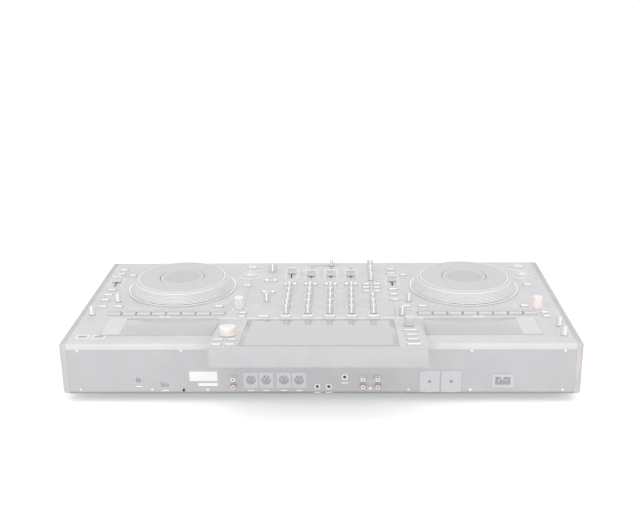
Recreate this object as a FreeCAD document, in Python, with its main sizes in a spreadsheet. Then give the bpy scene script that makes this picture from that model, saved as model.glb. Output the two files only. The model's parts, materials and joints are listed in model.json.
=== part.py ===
import FreeCAD, Part
import os
import re
import Sketcher

# A four-channel, two-deck DJ controller with a raised, tilted screen.
# Millimetres. +X is the user's right, -Y the user's side, +Z up. The origin is on the
# table, under the middle of the whole outline.

SIZES = {
    # whole body
    "overall_width": 944.8,
    "overall_depth": 528.6,
    "screen_top": 150.2,
    "deck_depth": 440.0,
    "deck_top": 118.5,
    "case_edge": 12.0,
    "deck_skin": 3.0,
    "case_wall": 4.0,
    "cheek_thick": 12.0,
    "cheek_bevel": 3.0,
    "nose_drop": 36.0,
    "belly_setback": 36.0,
    "tail_drop": 98.5,
    "tail_setback": 10.0,
    "foot_drop": 14.0,
    "foot_radius": 18.0,
    "foot_taper": 3.0,
    "foot_inset_x": 90.0,
    "foot_inset_y": 70.0,
    "bottom_sheet": 1.4,
    "front_wall": 3.0,
    "rear_sheet": 2.5,
    "panel_inset": 0.5,
    "vent_length": 60.0,
    "vent_width": 3.0,
    "vent_pitch": 12.0,
    "vent_count": 6,
    "vent_x": 230.0,
    "vent_setback": 60.0,
    # the width, depth and screen run at which the controls stand as far apart as given here
    "layout_width": 944.8,
    "layout_depth": 440.0,
    "layout_run": 202.3,
    # clearances
    "key_gap": 0.7,
    "stem_gap": 0.8,
    "knob_gap": 0.8,
    "socket_gap": 0.3,
    "spin_gap": 1.0,
    # boards under the deck
    "board_thick": 1.6,
    "pot_width": 10.0,
    "pot_height": 6.5,
    "pot_drop": 2.0,
    "boss_radius": 3.0,
    "board_side": 6.0,
    "board_split": 129.0,
    "board_split_gap": 5.0,
    "boss_inset": 6.0,
    # tilted screen housing
    "screen_start": 326.3,
    "screen_lip": 1.2,
    "screen_back": 39.0,
    "screen_neck": 16.0,
    "screen_bevel": 4.0,
    "glass_width": 276.0,
    "glass_margin": 7.6,
    "glass_setback": 7.0,
    "glass_thick": 1.6,
    "glass_ledge": 6.0,
    "module_depth": 7.0,
    "module_start": 78.0,
    "column_gap": 4.0,
    "column_width": 44.0,
    "column_depth": 7.0,
    "column_skin": 2.5,
    # jog wheels
    "deck_x": 291.5,
    "jog_y": 154.3,
    "jog_ring_radius": 111.0,
    "jog_ring_height": 3.0,
    "jog_skirt_radius": 107.5,
    "jog_top_radius": 91.0,
    "jog_height": 25.0,
    "jog_shoulder": 5.0,
    "jog_wall": 3.0,
    "jog_bore_radius": 45.6,
    "jog_collar": 4.0,
    "jog_display_thick": 3.0,
    "jog_display_drop": 0.5,
    # buttons
    "key_rise": 2.4,
    "key_flange": 1.4,
    "key_flange_thick": 1.2,
    "pad_rise": 2.8,
    "pad_depth": 18.0,
    "pad_pitch": 29.0,
    "pad_gap": 3.0,
    "pads_x": 301.0,
    "pads_y": 297.3,
    "round_radius": 18.0,
    "round_rise": 4.0,
    "transport_x": -134.0,
    "play_y": 33.3,
    "cue_y": 83.3,
    # small keys of the deck; every y is measured from the front edge of the case
    "wide_key_width": 17.0,
    "wide_key_depth": 10.0,
    "slim_key_width": 14.0,
    "slim_key_depth": 8.0,
    "label_key_width": 26.0,
    "label_key_depth": 11.0,
    "select_key_width": 22.0,
    "select_key_depth": 7.0,
    "strip_key_y_1": 46.3,
    "strip_key_y_2": 72.3,
    "strip_key_y_3": 167.3,
    "strip_key_y_4": 196.3,
    "strip_key_y_5": 225.3,
    "pad_key_x_1": -98.0,
    "pad_key_x_2": 102.0,
    "pad_key_x_3": 134.0,
    "pad_key_y": 260.3,
    "search_key_y": 143.3,
    "beat_key_offset": 5.0,
    "beat_key_y_1": 296.3,
    "beat_key_y_2": 314.3,
    "range_key_offset": 26.0,
    "range_key_y": 82.3,
    "cue_key_offset": 11.5,
    "cue_key_y_1": 138.3,
    "cue_key_y_2": 158.3,
    "cue_key_y_3": 180.3,
    "effect_key_y_1": 115.3,
    "effect_key_y_2": 183.3,
    # keys beside the screen, placed up its slope
    "list_key_depth": 9.0,
    "list_key_width_1": 26.0,
    "list_key_width_2": 20.0,
    "list_key_width_3": 20.0,
    "list_key_width_4": 24.0,
    "list_key_slope_1": 90.0,
    "list_key_slope_2": 124.0,
    "list_key_slope_3": 155.0,
    "list_key_slope_4": 186.0,
    "twin_key_offset": 12.0,
    "browse_slope": 120.0,
    "view_slope": 52.0,
    # gloss inlays behind the pads
    "inlay_gap": 5.0,
    "inlay_margin": 53.4,
    "inlay_depth": 80.0,
    "inlay_y": 362.3,
    "inlay_thick": 1.0,
    # deck sliders and encoders
    "strip_x": 146.0,
    "tempo_y": 120.3,
    "tempo_travel": 44.0,
    "loop_offset": 4.0,
    "loop_y": 270.8,
    # mixer
    "mixer_x": 4.6,
    "channel_pitch": 42.3,
    "side_offset": 106.0,
    "knob_row_y": 166.3,
    "knob_row_pitch": 32.0,
    "channel_key_y": 138.3,
    "select_key_y": 314.3,
    "fader_y": 66.3,
    "fader_travel": 56.0,
    "cross_y": 20.3,
    "cross_travel": 44.0,
    "fader_up": 19.0,
    "fader_up_last": 4.0,
    # knobs of the side columns and the corners
    "phones_knob_y_1": 31.9,
    "phones_knob_y_2": 63.9,
    "phones_knob_y_3": 110.3,
    "master_knob_y": 51.1,
    "corner_inset": 15.4,
    "corner_knob_y": 300.3,
    "mic_knob_y_1": 358.3,
    "mic_knob_y_2": 402.3,
    "booth_knob_x": 156.0,
    "booth_knob_y": 304.3,
    "strip_knob_offset": 28.0,
    "strip_knob_y": 232.3,
    # faders
    "slot_width": 3.0,
    "lever_width": 1.6,
    "lever_length": 4.0,
    "fader_body_width": 9.0,
    "fader_body_end": 6.0,
    "cap_rise": 2.0,
    "cap_height": 12.0,
    "cap_length": 11.0,
    "cap_width": 18.0,
    "cap_taper": 2.5,
    "cap_groove": 0.8,
    "cross_cap_width": 14.0,
    # knobs
    "knob_radius": 7.2,
    "knob_height": 17.0,
    "knob_skirt_height": 3.0,
    "knob_draft": 0.9,
    "stem_radius": 3.0,
    "master_radius": 9.5,
    "loop_radius": 9.5,
    "loop_height": 24.0,
    "browse_radius": 15.5,
    "browse_height": 16.4,
    "view_radius": 10.0,
    "view_height": 17.0,
    "screen_stem": 5.0,
    # sockets, each by its middle and its drop below the deck
    "xlr_x_1": 126.0,
    "xlr_x_2": 98.0,
    "xlr_x_3": 66.0,
    "xlr_x_4": 38.0,
    "jack_x_1": 5.0,
    "jack_x_2": -16.0,
    "jack_x_3": -45.0,
    "jack_drop_3": 66.0,
    "phono_x_1": 158.0,
    "phono_x_2": -78.0,
    "phono_x_3": -105.0,
    "ground_x": -91.5,
    "link_x": 332.0,
    "link_drop": 73.0,
    "link_width": 12.0,
    "link_height": 11.0,
    "network_x": 284.0,
    "network_drop": 81.0,
    "network_width": 17.0,
    "network_height": 14.0,
    "lock_x": 250.0,
    "lock_drop": 94.0,
    "xlr_drop": 72.0,
    "xlr_flange_width": 26.0,
    "xlr_flange_height": 31.0,
    "xlr_barrel": 11.6,
    "xlr_bore": 9.4,
    "xlr_depth": 14.0,
    "mic_plate_width": 36.0,
    "mic_plate_height": 42.0,
    "mic_drop": 75.0,
    "mic_x": -199.0,
    "mic_pitch": 39.0,
    "jack_drop": 85.0,
    "jack_nut": 6.5,
    "jack_barrel": 4.8,
    "jack_bore": 3.3,
    "jack_depth": 16.0,
    "flange_thick": 1.5,
    "barrel_wall": 2.0,
    "phono_ring": 5.8,
    "phono_stem": 4.2,
    "phono_bore": 1.7,
    "phono_reach": 9.0,
    "phono_high": 68.0,
    "phono_low": 83.0,
    "ground_drop": 87.0,
    "port_wall": 1.2,
    "port_depth": 14.0,
    "port_sheet": 0.5,
    "port_lip": 0.4,
    "usb_width": 13.2,
    "usb_height": 5.8,
    "usb_inset": 23.9,
    "usb_pitch": 30.0,
    "usb_setback": 31.7,
    "lock_width": 3.2,
    "lock_height": 7.2,
    "inlet_width": 38.0,
    "inlet_height": 26.0,
    "inlet_drop": 74.0,
    "inlet_x": -331.0,
    "inlet_rim": 5.0,
    "inlet_depth": 18.0,
    "phones_x": -101.4,
    "phones_pitch": 24.0,
    "phones_drop": 24.0,
    "mini_bore": 1.8,
}

DECKS = {"left": -1, "right": 1}
CHANNELS = (1, 2, 3, 4)
KNOB_ROWS = ("filter", "low", "mid", "high", "trim")

# Lines and heights that several pieces share.
FRONT = "(-overall_depth / 2)"
DECK_REAR = "(deck_depth - overall_depth / 2)"
SPREAD = "(overall_width / layout_width)"
REACH = "(deck_depth / layout_depth)"
CASE_HALF = "(overall_width / 2 - cheek_thick)"
CASE_LOW = "(deck_top - case_edge)"
DECK_UNDER = "(deck_top - deck_skin)"
BOARD_TOP = "(deck_top - deck_skin - pot_drop - pot_height)"
REAR_FACE = "(deck_depth - overall_depth / 2 - panel_inset)"
SCREEN_FRONT = f"({FRONT} + screen_start * {REACH})"
SCREEN_RISE = "(screen_top - deck_top - screen_lip)"
SCREEN_RUN = f"(overall_depth - screen_start * {REACH})"
SCREEN_TILT = f"atan2({SCREEN_RISE}; {SCREEN_RUN})"
SCREEN_WIDTH = "(glass_width + 2 * column_width + 4 * column_gap)"
GLASS_DEPTH = f"({SCREEN_RUN} / cos({SCREEN_TILT}) - glass_setback - glass_margin)"
COLUMN_X = "(glass_width / 2 + column_gap + column_width / 2)"
PAD_WIDTH = f"(pad_pitch * {SPREAD} - pad_gap)"
INLET_X = f"(inlet_x * {SPREAD})"
USB_Y = f"({DECK_REAR} - usb_setback)"

document = FreeCAD.newDocument("dj_controller")
sheet = document.addObject("Spreadsheet::Sheet", "Sizes")
for row, (size_name, size) in enumerate(SIZES.items(), start=1):
    sheet.set(f"A{row}", size_name)
    sheet.set(f"B{row}", str(size))
    sheet.setAlias(f"B{row}", size_name)
document.recompute()

nodes = {}


def linked(expression):
    """Point every size name in an expression at the spreadsheet."""
    def one_word(match):
        word = match.group()
        return f"Sizes.{word}" if word in SIZES else word
    return re.sub(r"[a-z][a-z0-9_]*", one_word, str(expression))


def bind(thing, **sizes):
    """Tie properties of an object to expressions of the named sizes."""
    for name, expression in sizes.items():
        thing.setExpression(name, linked(expression))


def place(thing, x=0, y=0, z=0):
    """Tie the place of an object to the named sizes."""
    for axis, expression in (("x", x), ("y", y), ("z", z)):
        thing.setExpression(f"Placement.Base.{axis}", linked(expression))


def turn(thing, angle, axis=(1, 0, 0)):
    """Turn an object about an axis by an angle tied to the named sizes."""
    thing.Placement = FreeCAD.Placement(FreeCAD.Vector(), FreeCAD.Rotation(FreeCAD.Vector(*axis), 1))
    thing.setExpression("Placement.Rotation.Angle", linked(angle))


def place_on_screen(thing, x, along, above):
    """Put an object on the tilted screen surface: along it from the front edge, and above it."""
    turn(thing, SCREEN_TILT)
    cosine = f"cos({SCREEN_TILT})"
    sine = f"sin({SCREEN_TILT})"
    y = f"{SCREEN_FRONT} + ({along}) * {cosine} - ({above}) * {sine}"
    z = f"deck_top + screen_lip + ({along}) * {sine} + ({above}) * {cosine}"
    place(thing, x, y, z)


def box(name, x, y, z, length, width, height):
    """Make a block centred on x and y, standing on z."""
    block = document.addObject("Part::Box", name)
    bind(block, Length=length, Width=width, Height=height)
    place(block, f"{x} - ({length}) / 2", f"{y} - ({width}) / 2", z)
    return block


def rod(name, x, y, z, radius, height):
    """Make an upright cylinder standing on z."""
    cylinder = document.addObject("Part::Cylinder", name)
    bind(cylinder, Radius=radius, Height=height)
    place(cylinder, x, y, z)
    return cylinder


def faceted_rod(name, x, y, z, radius, height, sides=12):
    """Make an upright many-sided rod standing on z, for small round pieces that repeat."""
    prism = document.addObject("Part::Prism", name)
    prism.Polygon = sides
    bind(prism, Circumradius=radius, Height=height)
    place(prism, x, y, z)
    return prism


def faceted_cone(name, sections, sides=12):
    """Loft a many-sided piece through sections given as radius and height."""
    rings = []
    for radius, height in sections:
        ring = document.addObject("Part::RegularPolygon", f"{name}_ring_{len(rings)}")
        ring.Polygon = sides
        bind(ring, Circumradius=radius)
        place(ring, 0, 0, height)
        rings.append(ring)
    loft = document.addObject("Part::Loft", name)
    loft.Sections = rings
    loft.Solid = True
    loft.Ruled = True
    return loft


def fused(name, shapes):
    """Fuse several objects into one solid."""
    result = document.addObject("Part::MultiFuse", name)
    result.Shapes = shapes
    result.Refine = True
    return result


def grouped(name, shapes):
    """Hold several separate solids in one object."""
    result = document.addObject("Part::Compound", name)
    result.Links = shapes
    return result


def cut(name, base, tool):
    """Cut one object out of another."""
    result = document.addObject("Part::Cut", name)
    result.Base = base
    result.Tool = tool
    return result


def node(name, thing):
    """Keep an object as the sub-part of that name."""
    thing.Label = name
    nodes[name] = thing
    return thing


def origin_plane(body, role):
    """Find one of a body's own origin planes or axes."""
    return [feature for feature in body.Origin.OriginFeatures if feature.Role == role][0]


def outline(body, name, role, points):
    """Sketch a closed outline through points that are tied to the named sizes."""
    sketch = body.newObject("Sketcher::SketchObject", name)
    sketch.AttachmentSupport = [(origin_plane(body, role), "")]
    sketch.MapMode = "FlatFace"
    count = len(points)
    values = [(evaluated(x), evaluated(y)) for x, y in points]
    corners = [FreeCAD.Vector(x, y, 0) for x, y in values]
    for index in range(count):
        sketch.addGeometry(Part.LineSegment(corners[index], corners[(index + 1) % count]), False)
    for index in range(count):
        sketch.addConstraint(Sketcher.Constraint("Coincident", index, 2, (index + 1) % count, 1))
    for index, (x, y) in enumerate(points):
        pairs = (("DistanceX", x, values[index][0]), ("DistanceY", y, values[index][1]))
        for kind, expression, value in pairs:
            number = sketch.addConstraint(Sketcher.Constraint(kind, index, 1, value))
            sketch.setExpression(f"Constraints[{number}]", linked(expression))
    return sketch


def evaluated(expression):
    """Work an expression out with the sheet's present values."""
    return float(sheet.evalExpression(re.sub(r"Sizes\.", "", linked(expression))))


def padded(name, role, points, length):
    """Make a body by padding an outline to both sides of its plane."""
    body = document.addObject("PartDesign::Body", name)
    sketch = outline(body, f"{name}_outline", role, points)
    pad = body.newObject("PartDesign::Pad", f"{name}_pad")
    pad.Profile = sketch
    pad.Midplane = True
    bind(pad, Length=length)
    return body


def turned(name, points):
    """Make a body by revolving a half section, given as radius and height, about its own Z axis."""
    body = document.addObject("PartDesign::Body", name)
    sketch = outline(body, f"{name}_section", "XZ_Plane", points)
    revolution = body.newObject("PartDesign::Revolution", f"{name}_turn")
    revolution.Profile = sketch
    revolution.ReferenceAxis = (origin_plane(body, "Z_Axis"), [""])
    revolution.Angle = 360
    return body


def chamfered(body, name, size, wanted):
    """Chamfer the edges of a body's last feature that a test picks out."""
    document.recompute()
    base = body.Tip
    picked = [f"Edge{number}" for number, edge in enumerate(base.Shape.Edges, start=1) if wanted(edge)]
    chamfer = body.newObject("PartDesign::Chamfer", name)
    chamfer.Base = (base, picked)
    bind(chamfer, Size=size)
    return chamfer


# Where the controls sit on the deck.

def across(x):
    """X of a place given in the layout, which spreads with the width of the case."""
    return f"(({x}) * {SPREAD})"


def back(y):
    """Y of a place given from the front edge, which spreads with the depth of the deck."""
    return f"({FRONT} + ({y}) * {REACH})"


def up_slope(distance):
    """Distance up the tilted screen, which spreads with the run of its slope."""
    return f"(({distance}) * {SCREEN_RUN} / layout_run)"


def deck_x_at(side, offset="0"):
    """X of a place given from the middle of one deck's jog wheel."""
    return across(f"{side} * deck_x + {offset}")


def pads_x_at(side, offset="0"):
    """X of a place given from the middle of one deck's row of pads."""
    return across(f"{side} * pads_x + {offset}")


def channel_x(channel):
    return across(f"mixer_x + ({channel} - 2.5) * channel_pitch")


def knob_row_y(row_number):
    return back(f"knob_row_y + {row_number} * knob_row_pitch")


CHANNEL_KNOBS = [
    (f"channel_{channel}_{row_name}_knob", channel_x(channel), knob_row_y(row_number))
    for channel in CHANNELS
    for row_number, row_name in enumerate(KNOB_ROWS)
]
PHONES_COLUMN = across("mixer_x - side_offset")
MASTER_COLUMN = across("mixer_x + side_offset")
SIDE_KNOBS = [(PHONES_COLUMN, back(f"phones_knob_y_{number}")) for number in (1, 2, 3)]
SIDE_KNOBS += [(PHONES_COLUMN, knob_row_y(row_number)) for row_number in (2, 3, 4)]
SIDE_KNOBS += [
    (MASTER_COLUMN, knob_row_y(2)),
    (f"({CASE_HALF} - corner_inset)", back("corner_knob_y")),
    (f"(corner_inset - {CASE_HALF})", back("mic_knob_y_1")),
    (f"(corner_inset - {CASE_HALF})", back("mic_knob_y_2")),
    (across("-booth_knob_x"), back("booth_knob_y")),
]
SIDE_KNOBS += [
    (deck_x_at(side, "strip_x - strip_knob_offset"), back("strip_knob_y")) for side in DECKS.values()
]
MASTER_KNOB = (MASTER_COLUMN, back("master_knob_y"))
LOOP_KNOBS = {
    deck: (deck_x_at(side, "transport_x + loop_offset"), back("loop_y")) for deck, side in DECKS.items()
}

# Small keys on the flat deck, as (x, y, width, depth).
WIDE_KEY = ("wide_key_width", "wide_key_depth")
SLIM_KEY = ("slim_key_width", "slim_key_depth")
LABEL_KEY = ("label_key_width", "label_key_depth")
SELECT_KEY = ("select_key_width", "select_key_depth")
PANEL_KEYS = []
for side in DECKS.values():
    for number in (1, 2, 3, 4, 5):
        PANEL_KEYS.append((deck_x_at(side, "strip_x"), back(f"strip_key_y_{number}"), *WIDE_KEY))
    for number in (1, 2, 3):
        PANEL_KEYS.append((pads_x_at(side, f"pad_key_x_{number}"), back("pad_key_y"), *WIDE_KEY))
    PANEL_KEYS.append((deck_x_at(side, "transport_x"), back("search_key_y"), *WIDE_KEY))
    for number in (1, 2):
        PANEL_KEYS.append((deck_x_at(side, "transport_x - beat_key_offset"),
                           back(f"beat_key_y_{number}"), *SLIM_KEY))
    PANEL_KEYS.append((deck_x_at(side, "strip_x - range_key_offset"), back("range_key_y"), *SLIM_KEY))
for channel in CHANNELS:
    PANEL_KEYS.append((channel_x(channel), back("channel_key_y"), *LABEL_KEY))
for column in [PHONES_COLUMN, MASTER_COLUMN] + [channel_x(channel) for channel in CHANNELS]:
    PANEL_KEYS.append((column, back("select_key_y"), *SELECT_KEY))
for number in (1, 2, 3):
    for hand in DECKS.values():
        PANEL_KEYS.append((across(f"mixer_x - side_offset + {hand} * cue_key_offset"),
                           back(f"cue_key_y_{number}"), *SLIM_KEY))
for number in (1, 2):
    PANEL_KEYS.append((MASTER_COLUMN, back(f"effect_key_y_{number}"), *LABEL_KEY))

# Keys beside the screen, as (x, distance up its slope, width, depth).
SCREEN_KEYS = [
    (f"({COLUMN_X} + {hand} * twin_key_offset)", up_slope(f"list_key_slope_{number}"),
     "wide_key_width", "slim_key_depth")
    for number in (3, 4)
    for hand in DECKS.values()
]
SCREEN_KEYS += [
    (f"(-{COLUMN_X})", up_slope(f"list_key_slope_{number}"), f"list_key_width_{number}", "list_key_depth")
    for number in (1, 2, 3, 4)
]
BROWSE_KNOB = (COLUMN_X, up_slope("browse_slope"))
VIEW_KNOB = (f"(-{COLUMN_X})", up_slope("view_slope"))

# Faders: name, x, middle y, travel, whether it runs along X, and where the cap rests.
FADERS = [
    (f"tempo_slider_{deck}", deck_x_at(side, "strip_x"), back("tempo_y"), "tempo_travel", False, "0")
    for deck, side in DECKS.items()
]
FADERS += [
    (f"channel_{channel}_fader", channel_x(channel), back("fader_y"), "fader_travel", False,
     "fader_up_last" if channel == 4 else "fader_up")
    for channel in CHANNELS
]
FADERS.append(("crossfader", across("mixer_x"), back("cross_y"), "cross_travel", True,
               "(-cross_travel / 2)"))

# Sockets of the rear wall.
XLR_PLACES = ("xlr_x_1", "xlr_x_2", "xlr_x_3", "xlr_x_4")
MIC_PLACES = ("mic_x", "(mic_x - mic_pitch)")
JACK_PLACES = (("jack_x_1", "jack_drop"), ("jack_x_2", "jack_drop"), ("jack_x_3", "jack_drop_3"))
PHONO_PLACES = ("phono_x_1", "phono_x_2", "phono_x_3")
# Data ports: middle x, drop below the deck, width and height of the shell.
DATA_PORTS = (
    ("link_x", "link_drop", "link_width", "link_height"),
    ("network_x", "network_drop", "network_width", "network_height"),
)
BARREL_SIDES = 12
STEM_SIDES = 8


def fader_box(name, fader, z, along, across, height):
    """Make a block centred on a fader's slot, with its length along the travel."""
    _, x, y, _, runs_x, _ = fader
    if runs_x:
        return box(name, x, y, z, along, across, height)
    return box(name, x, y, z, across, along, height)


# Body panels

def make_side_cheeks():
    """Side pieces, cut to the slanting nose and belly that the front and bottom follow."""
    section = [
        (FRONT, "deck_top"),
        (FRONT, "deck_top - nose_drop"),
        (f"{FRONT} + belly_setback", "foot_drop"),
        (f"{DECK_REAR} - tail_setback", "foot_drop"),
        (DECK_REAR, "deck_top - tail_drop"),
        (DECK_REAR, "deck_top"),
    ]
    cheeks = []
    for deck, side in DECKS.items():
        cheek = padded(f"cheek_{deck}", "YZ_Plane", section, "cheek_thick")
        place(cheek, f"{side} * (overall_width - cheek_thick) / 2")
        outer = side * evaluated("cheek_thick / 2")

        def on_outer_side(edge):
            ends_outside = all(abs(vertex.X - outer) < 1e-4 for vertex in edge.Vertexes)
            return ends_outside and isinstance(edge.Curve, Part.Line)

        chamfered(cheek, f"cheek_{deck}_bevel", "cheek_bevel", on_outer_side)
        cheeks.append(cheek)
    node("side_cheeks", grouped("side_cheeks_group", cheeks))


def make_front_panel():
    """Bent front wall between the cheeks, under the nose of the upper case."""
    slope = "(belly_setback / (deck_top - nose_drop - foot_drop))"
    skirt_end = f"({FRONT} + panel_inset + belly_setback - bottom_sheet * {slope})"
    section = [
        (f"{FRONT} + panel_inset", CASE_LOW),
        (f"{FRONT} + panel_inset", "deck_top - nose_drop"),
        (skirt_end, "foot_drop + bottom_sheet"),
        (f"{skirt_end} + front_wall", "foot_drop + bottom_sheet"),
        (f"{FRONT} + panel_inset + front_wall", "deck_top - nose_drop + front_wall * 0.2"),
        (f"{FRONT} + panel_inset + front_wall", CASE_LOW),
    ]
    wall = padded("front_wall_sheet", "YZ_Plane", section, f"2 * {CASE_HALF}")
    holes = []
    for number, radius in enumerate(("jack_barrel", "mini_bore + barrel_wall")):
        hole = faceted_rod(f"phones_hole_{number}", 0, 0, 0, f"{radius} + socket_gap", "4 * front_wall")
        turn(hole, "90")
        place(hole, f"phones_x + {number} * phones_pitch", f"{FRONT} + panel_inset + 2 * front_wall",
              "deck_top - phones_drop")
        holes.append(hole)
    node("front_panel", cut("front_panel_cut", wall, grouped("phones_holes", holes)))


def make_bottom_plate():
    """Bottom sheet with its feet's footprint clear and two banks of cooling slots."""
    front = f"({FRONT} + panel_inset + belly_setback)"
    rear = f"({DECK_REAR} - tail_setback)"
    body = document.addObject("PartDesign::Body", "bottom_sheet_body")
    corners = [
        (f"-{CASE_HALF}", front),
        (CASE_HALF, front),
        (CASE_HALF, rear),
        (f"-{CASE_HALF}", rear),
    ]
    sketch = outline(body, "bottom_outline", "XY_Plane", corners)
    pad = body.newObject("PartDesign::Pad", "bottom_pad")
    pad.Profile = sketch
    bind(pad, Length="bottom_sheet")
    slots = []
    for side in DECKS.values():
        for number in range(int(evaluated("vent_count"))):
            middle = f"({number} - (vent_count - 1) / 2) * vent_pitch"
            slots.append(box(f"vent_{len(slots)}", f"{side} * vent_x", f"{middle} - vent_setback", "-1",
                             "vent_length", "vent_width", "bottom_sheet + 2"))
    sheet_cut = cut("bottom_plate_cut", body, grouped("vents", slots))
    place(sheet_cut, 0, 0, "foot_drop")
    node("bottom_plate", sheet_cut)


def make_feet():
    """Tapered rubber feet under the bottom plate."""
    feet = []
    for side_x in (-1, 1):
        for side_y in (-1, 1):
            foot = faceted_cone(f"foot_{len(feet)}", [
                ("foot_radius - foot_taper", "0"),
                ("foot_radius", "foot_drop"),
            ], sides=18)
            middle_y = f"(({FRONT} + belly_setback + {DECK_REAR} - tail_setback) / 2)"
            reach_y = "((deck_depth - belly_setback - tail_setback) / 2 - foot_inset_y)"
            place(foot, f"{side_x} * (overall_width / 2 - foot_inset_x)",
                  f"{middle_y} + {side_y} * {reach_y}")
            feet.append(foot)
    node("feet", grouped("feet_group", feet))


def key_hole(name, x, y, width, depth):
    """Hole in the deck skin for a key, larger than the key by the key gap all round."""
    return box(name, x, y, f"{DECK_UNDER} - 1", f"{width} + 2 * key_gap", f"{depth} + 2 * key_gap",
               "deck_skin + 2")


def shaft_hole(name, x, y):
    """Hole in the deck skin that a knob's shaft turns in, clear of its corners."""
    return faceted_rod(name, x, y, f"{DECK_UNDER} - 1", "stem_radius + stem_gap", "deck_skin + 2", sides=6)


def make_upper_case():
    """Moulded top deck: a thin skin with a deep rim, bosses below and a hole for every control."""
    body = document.addObject("PartDesign::Body", "upper_case_body")
    corners = [
        (f"-{CASE_HALF}", FRONT),
        (CASE_HALF, FRONT),
        (CASE_HALF, DECK_REAR),
        (f"-{CASE_HALF}", DECK_REAR),
    ]
    sketch = outline(body, "case_outline", "XY_Plane", corners)
    pad = body.newObject("PartDesign::Pad", "case_pad")
    pad.Profile = sketch
    bind(pad, Length="case_edge")
    inner = [
        (f"-{CASE_HALF} + case_wall", f"{FRONT} + case_wall"),
        (f"{CASE_HALF} - case_wall", f"{FRONT} + case_wall"),
        (f"{CASE_HALF} - case_wall", f"{DECK_REAR} - case_wall"),
        (f"-{CASE_HALF} + case_wall", f"{DECK_REAR} - case_wall"),
    ]
    hollow = outline(body, "case_hollow", "XY_Plane", inner)
    pocket = body.newObject("PartDesign::Pocket", "case_pocket")
    pocket.Profile = hollow
    pocket.Reversed = True
    bind(pocket, Length="case_edge - deck_skin")
    place(body, 0, 0, CASE_LOW)

    holes = []
    for _, x, y in CHANNEL_KNOBS:
        holes.append(shaft_hole(f"hole_{len(holes)}", x, y))
    for x, y in SIDE_KNOBS + [MASTER_KNOB] + list(LOOP_KNOBS.values()):
        holes.append(shaft_hole(f"hole_{len(holes)}", x, y))
    for key in PANEL_KEYS:
        holes.append(key_hole(f"hole_{len(holes)}", *key))
    for side in DECKS.values():
        for x in pad_places(side):
            holes.append(key_hole(f"hole_{len(holes)}", x, back("pads_y"), PAD_WIDTH, "pad_depth"))
        for y in ("play_y", "cue_y"):
            holes.append(faceted_rod(f"hole_{len(holes)}", deck_x_at(side, "transport_x"), back(y),
                                     f"{DECK_UNDER} - 1", "round_radius + key_gap", "deck_skin + 2",
                                     sides=24))
    for fader in FADERS:
        slot = f"({fader[3]} + lever_length + 4 * key_gap)"
        holes.append(fader_box(f"hole_{len(holes)}", fader, f"{DECK_UNDER} - 1", slot, "slot_width",
                               "deck_skin + 2"))
    for x in usb_places():
        holes.append(box(f"hole_{len(holes)}", x, USB_Y, f"{DECK_UNDER} - 1",
                         "usb_width + 2 * socket_gap", "usb_height + 2 * socket_gap",
                         "deck_skin + 2"))
    drilled = cut("upper_case_drilled", body, grouped("deck_holes", holes))
    bosses = [
        faceted_rod(f"boss_{number}", x, y, BOARD_TOP, "boss_radius",
                    f"{DECK_UNDER} - {BOARD_TOP}", sides=6)
        for number, (x, y) in enumerate(boss_places())
    ]
    node("upper_case", fused("upper_case_whole", [drilled] + bosses))


def pad_places(side):
    """Middles of one deck's eight pads."""
    return [pads_x_at(side, f"({number} - 3.5) * pad_pitch") for number in range(8)]


def usb_places():
    """Middles of the two memory-stick slots in the rear right corner."""
    return [f"({CASE_HALF} - usb_inset)", f"({CASE_HALF} - usb_inset - usb_pitch)"]


def boss_places():
    """Screw bosses that the boards hang from, near the corners of each board."""
    places = []
    rear = f"({DECK_REAR} - case_wall - board_side - boss_inset)"
    front = f"({FRONT} + case_wall + board_side + boss_inset)"
    for y in (front, rear):
        for side in (-1, 1):
            places.append((f"({side} * (board_split - boss_inset))", y))
            places.append((f"({side} * (board_split + board_split_gap + boss_inset))", y))
            places.append((f"({side} * ({CASE_HALF} - case_wall - board_side - boss_inset))", y))
    return places


def make_rear_panel():
    """Vertical rear sheet with an opening for every socket."""
    section = [
        (f"{REAR_FACE} - rear_sheet", "foot_drop + bottom_sheet"),
        (f"{REAR_FACE} - tail_setback", "foot_drop + bottom_sheet"),
        (REAR_FACE, "deck_top - tail_drop + 2 * bottom_sheet"),
        (REAR_FACE, CASE_LOW),
        (f"{REAR_FACE} - rear_sheet", CASE_LOW),
    ]
    section[0] = (f"{REAR_FACE} - tail_setback - rear_sheet", "foot_drop + bottom_sheet")
    section.append((f"{REAR_FACE} - rear_sheet", "deck_top - tail_drop + 2 * bottom_sheet"))
    wall = padded("rear_sheet_body", "YZ_Plane", section, f"2 * {CASE_HALF}")
    holes = []
    for x, drop, radius, sides in round_sockets():
        hole = faceted_rod(f"socket_hole_{len(holes)}", 0, 0, 0, f"{radius} + socket_gap", "4 * rear_sheet",
                           sides)
        turn(hole, "-90")
        place(hole, x, f"{REAR_FACE} - 2 * rear_sheet", f"deck_top - {drop}")
        holes.append(hole)
    for x, drop, width, height in square_sockets():
        wide = f"{width} + 2 * socket_gap"
        high = f"({height} + 2 * socket_gap)"
        holes.append(box(f"socket_hole_{len(holes)}", x, REAR_FACE, f"deck_top - {drop} - {high} / 2",
                         wide, "4 * rear_sheet", high))
    node("rear_panel", cut("rear_panel_cut", wall, grouped("socket_holes", holes)))


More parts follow.
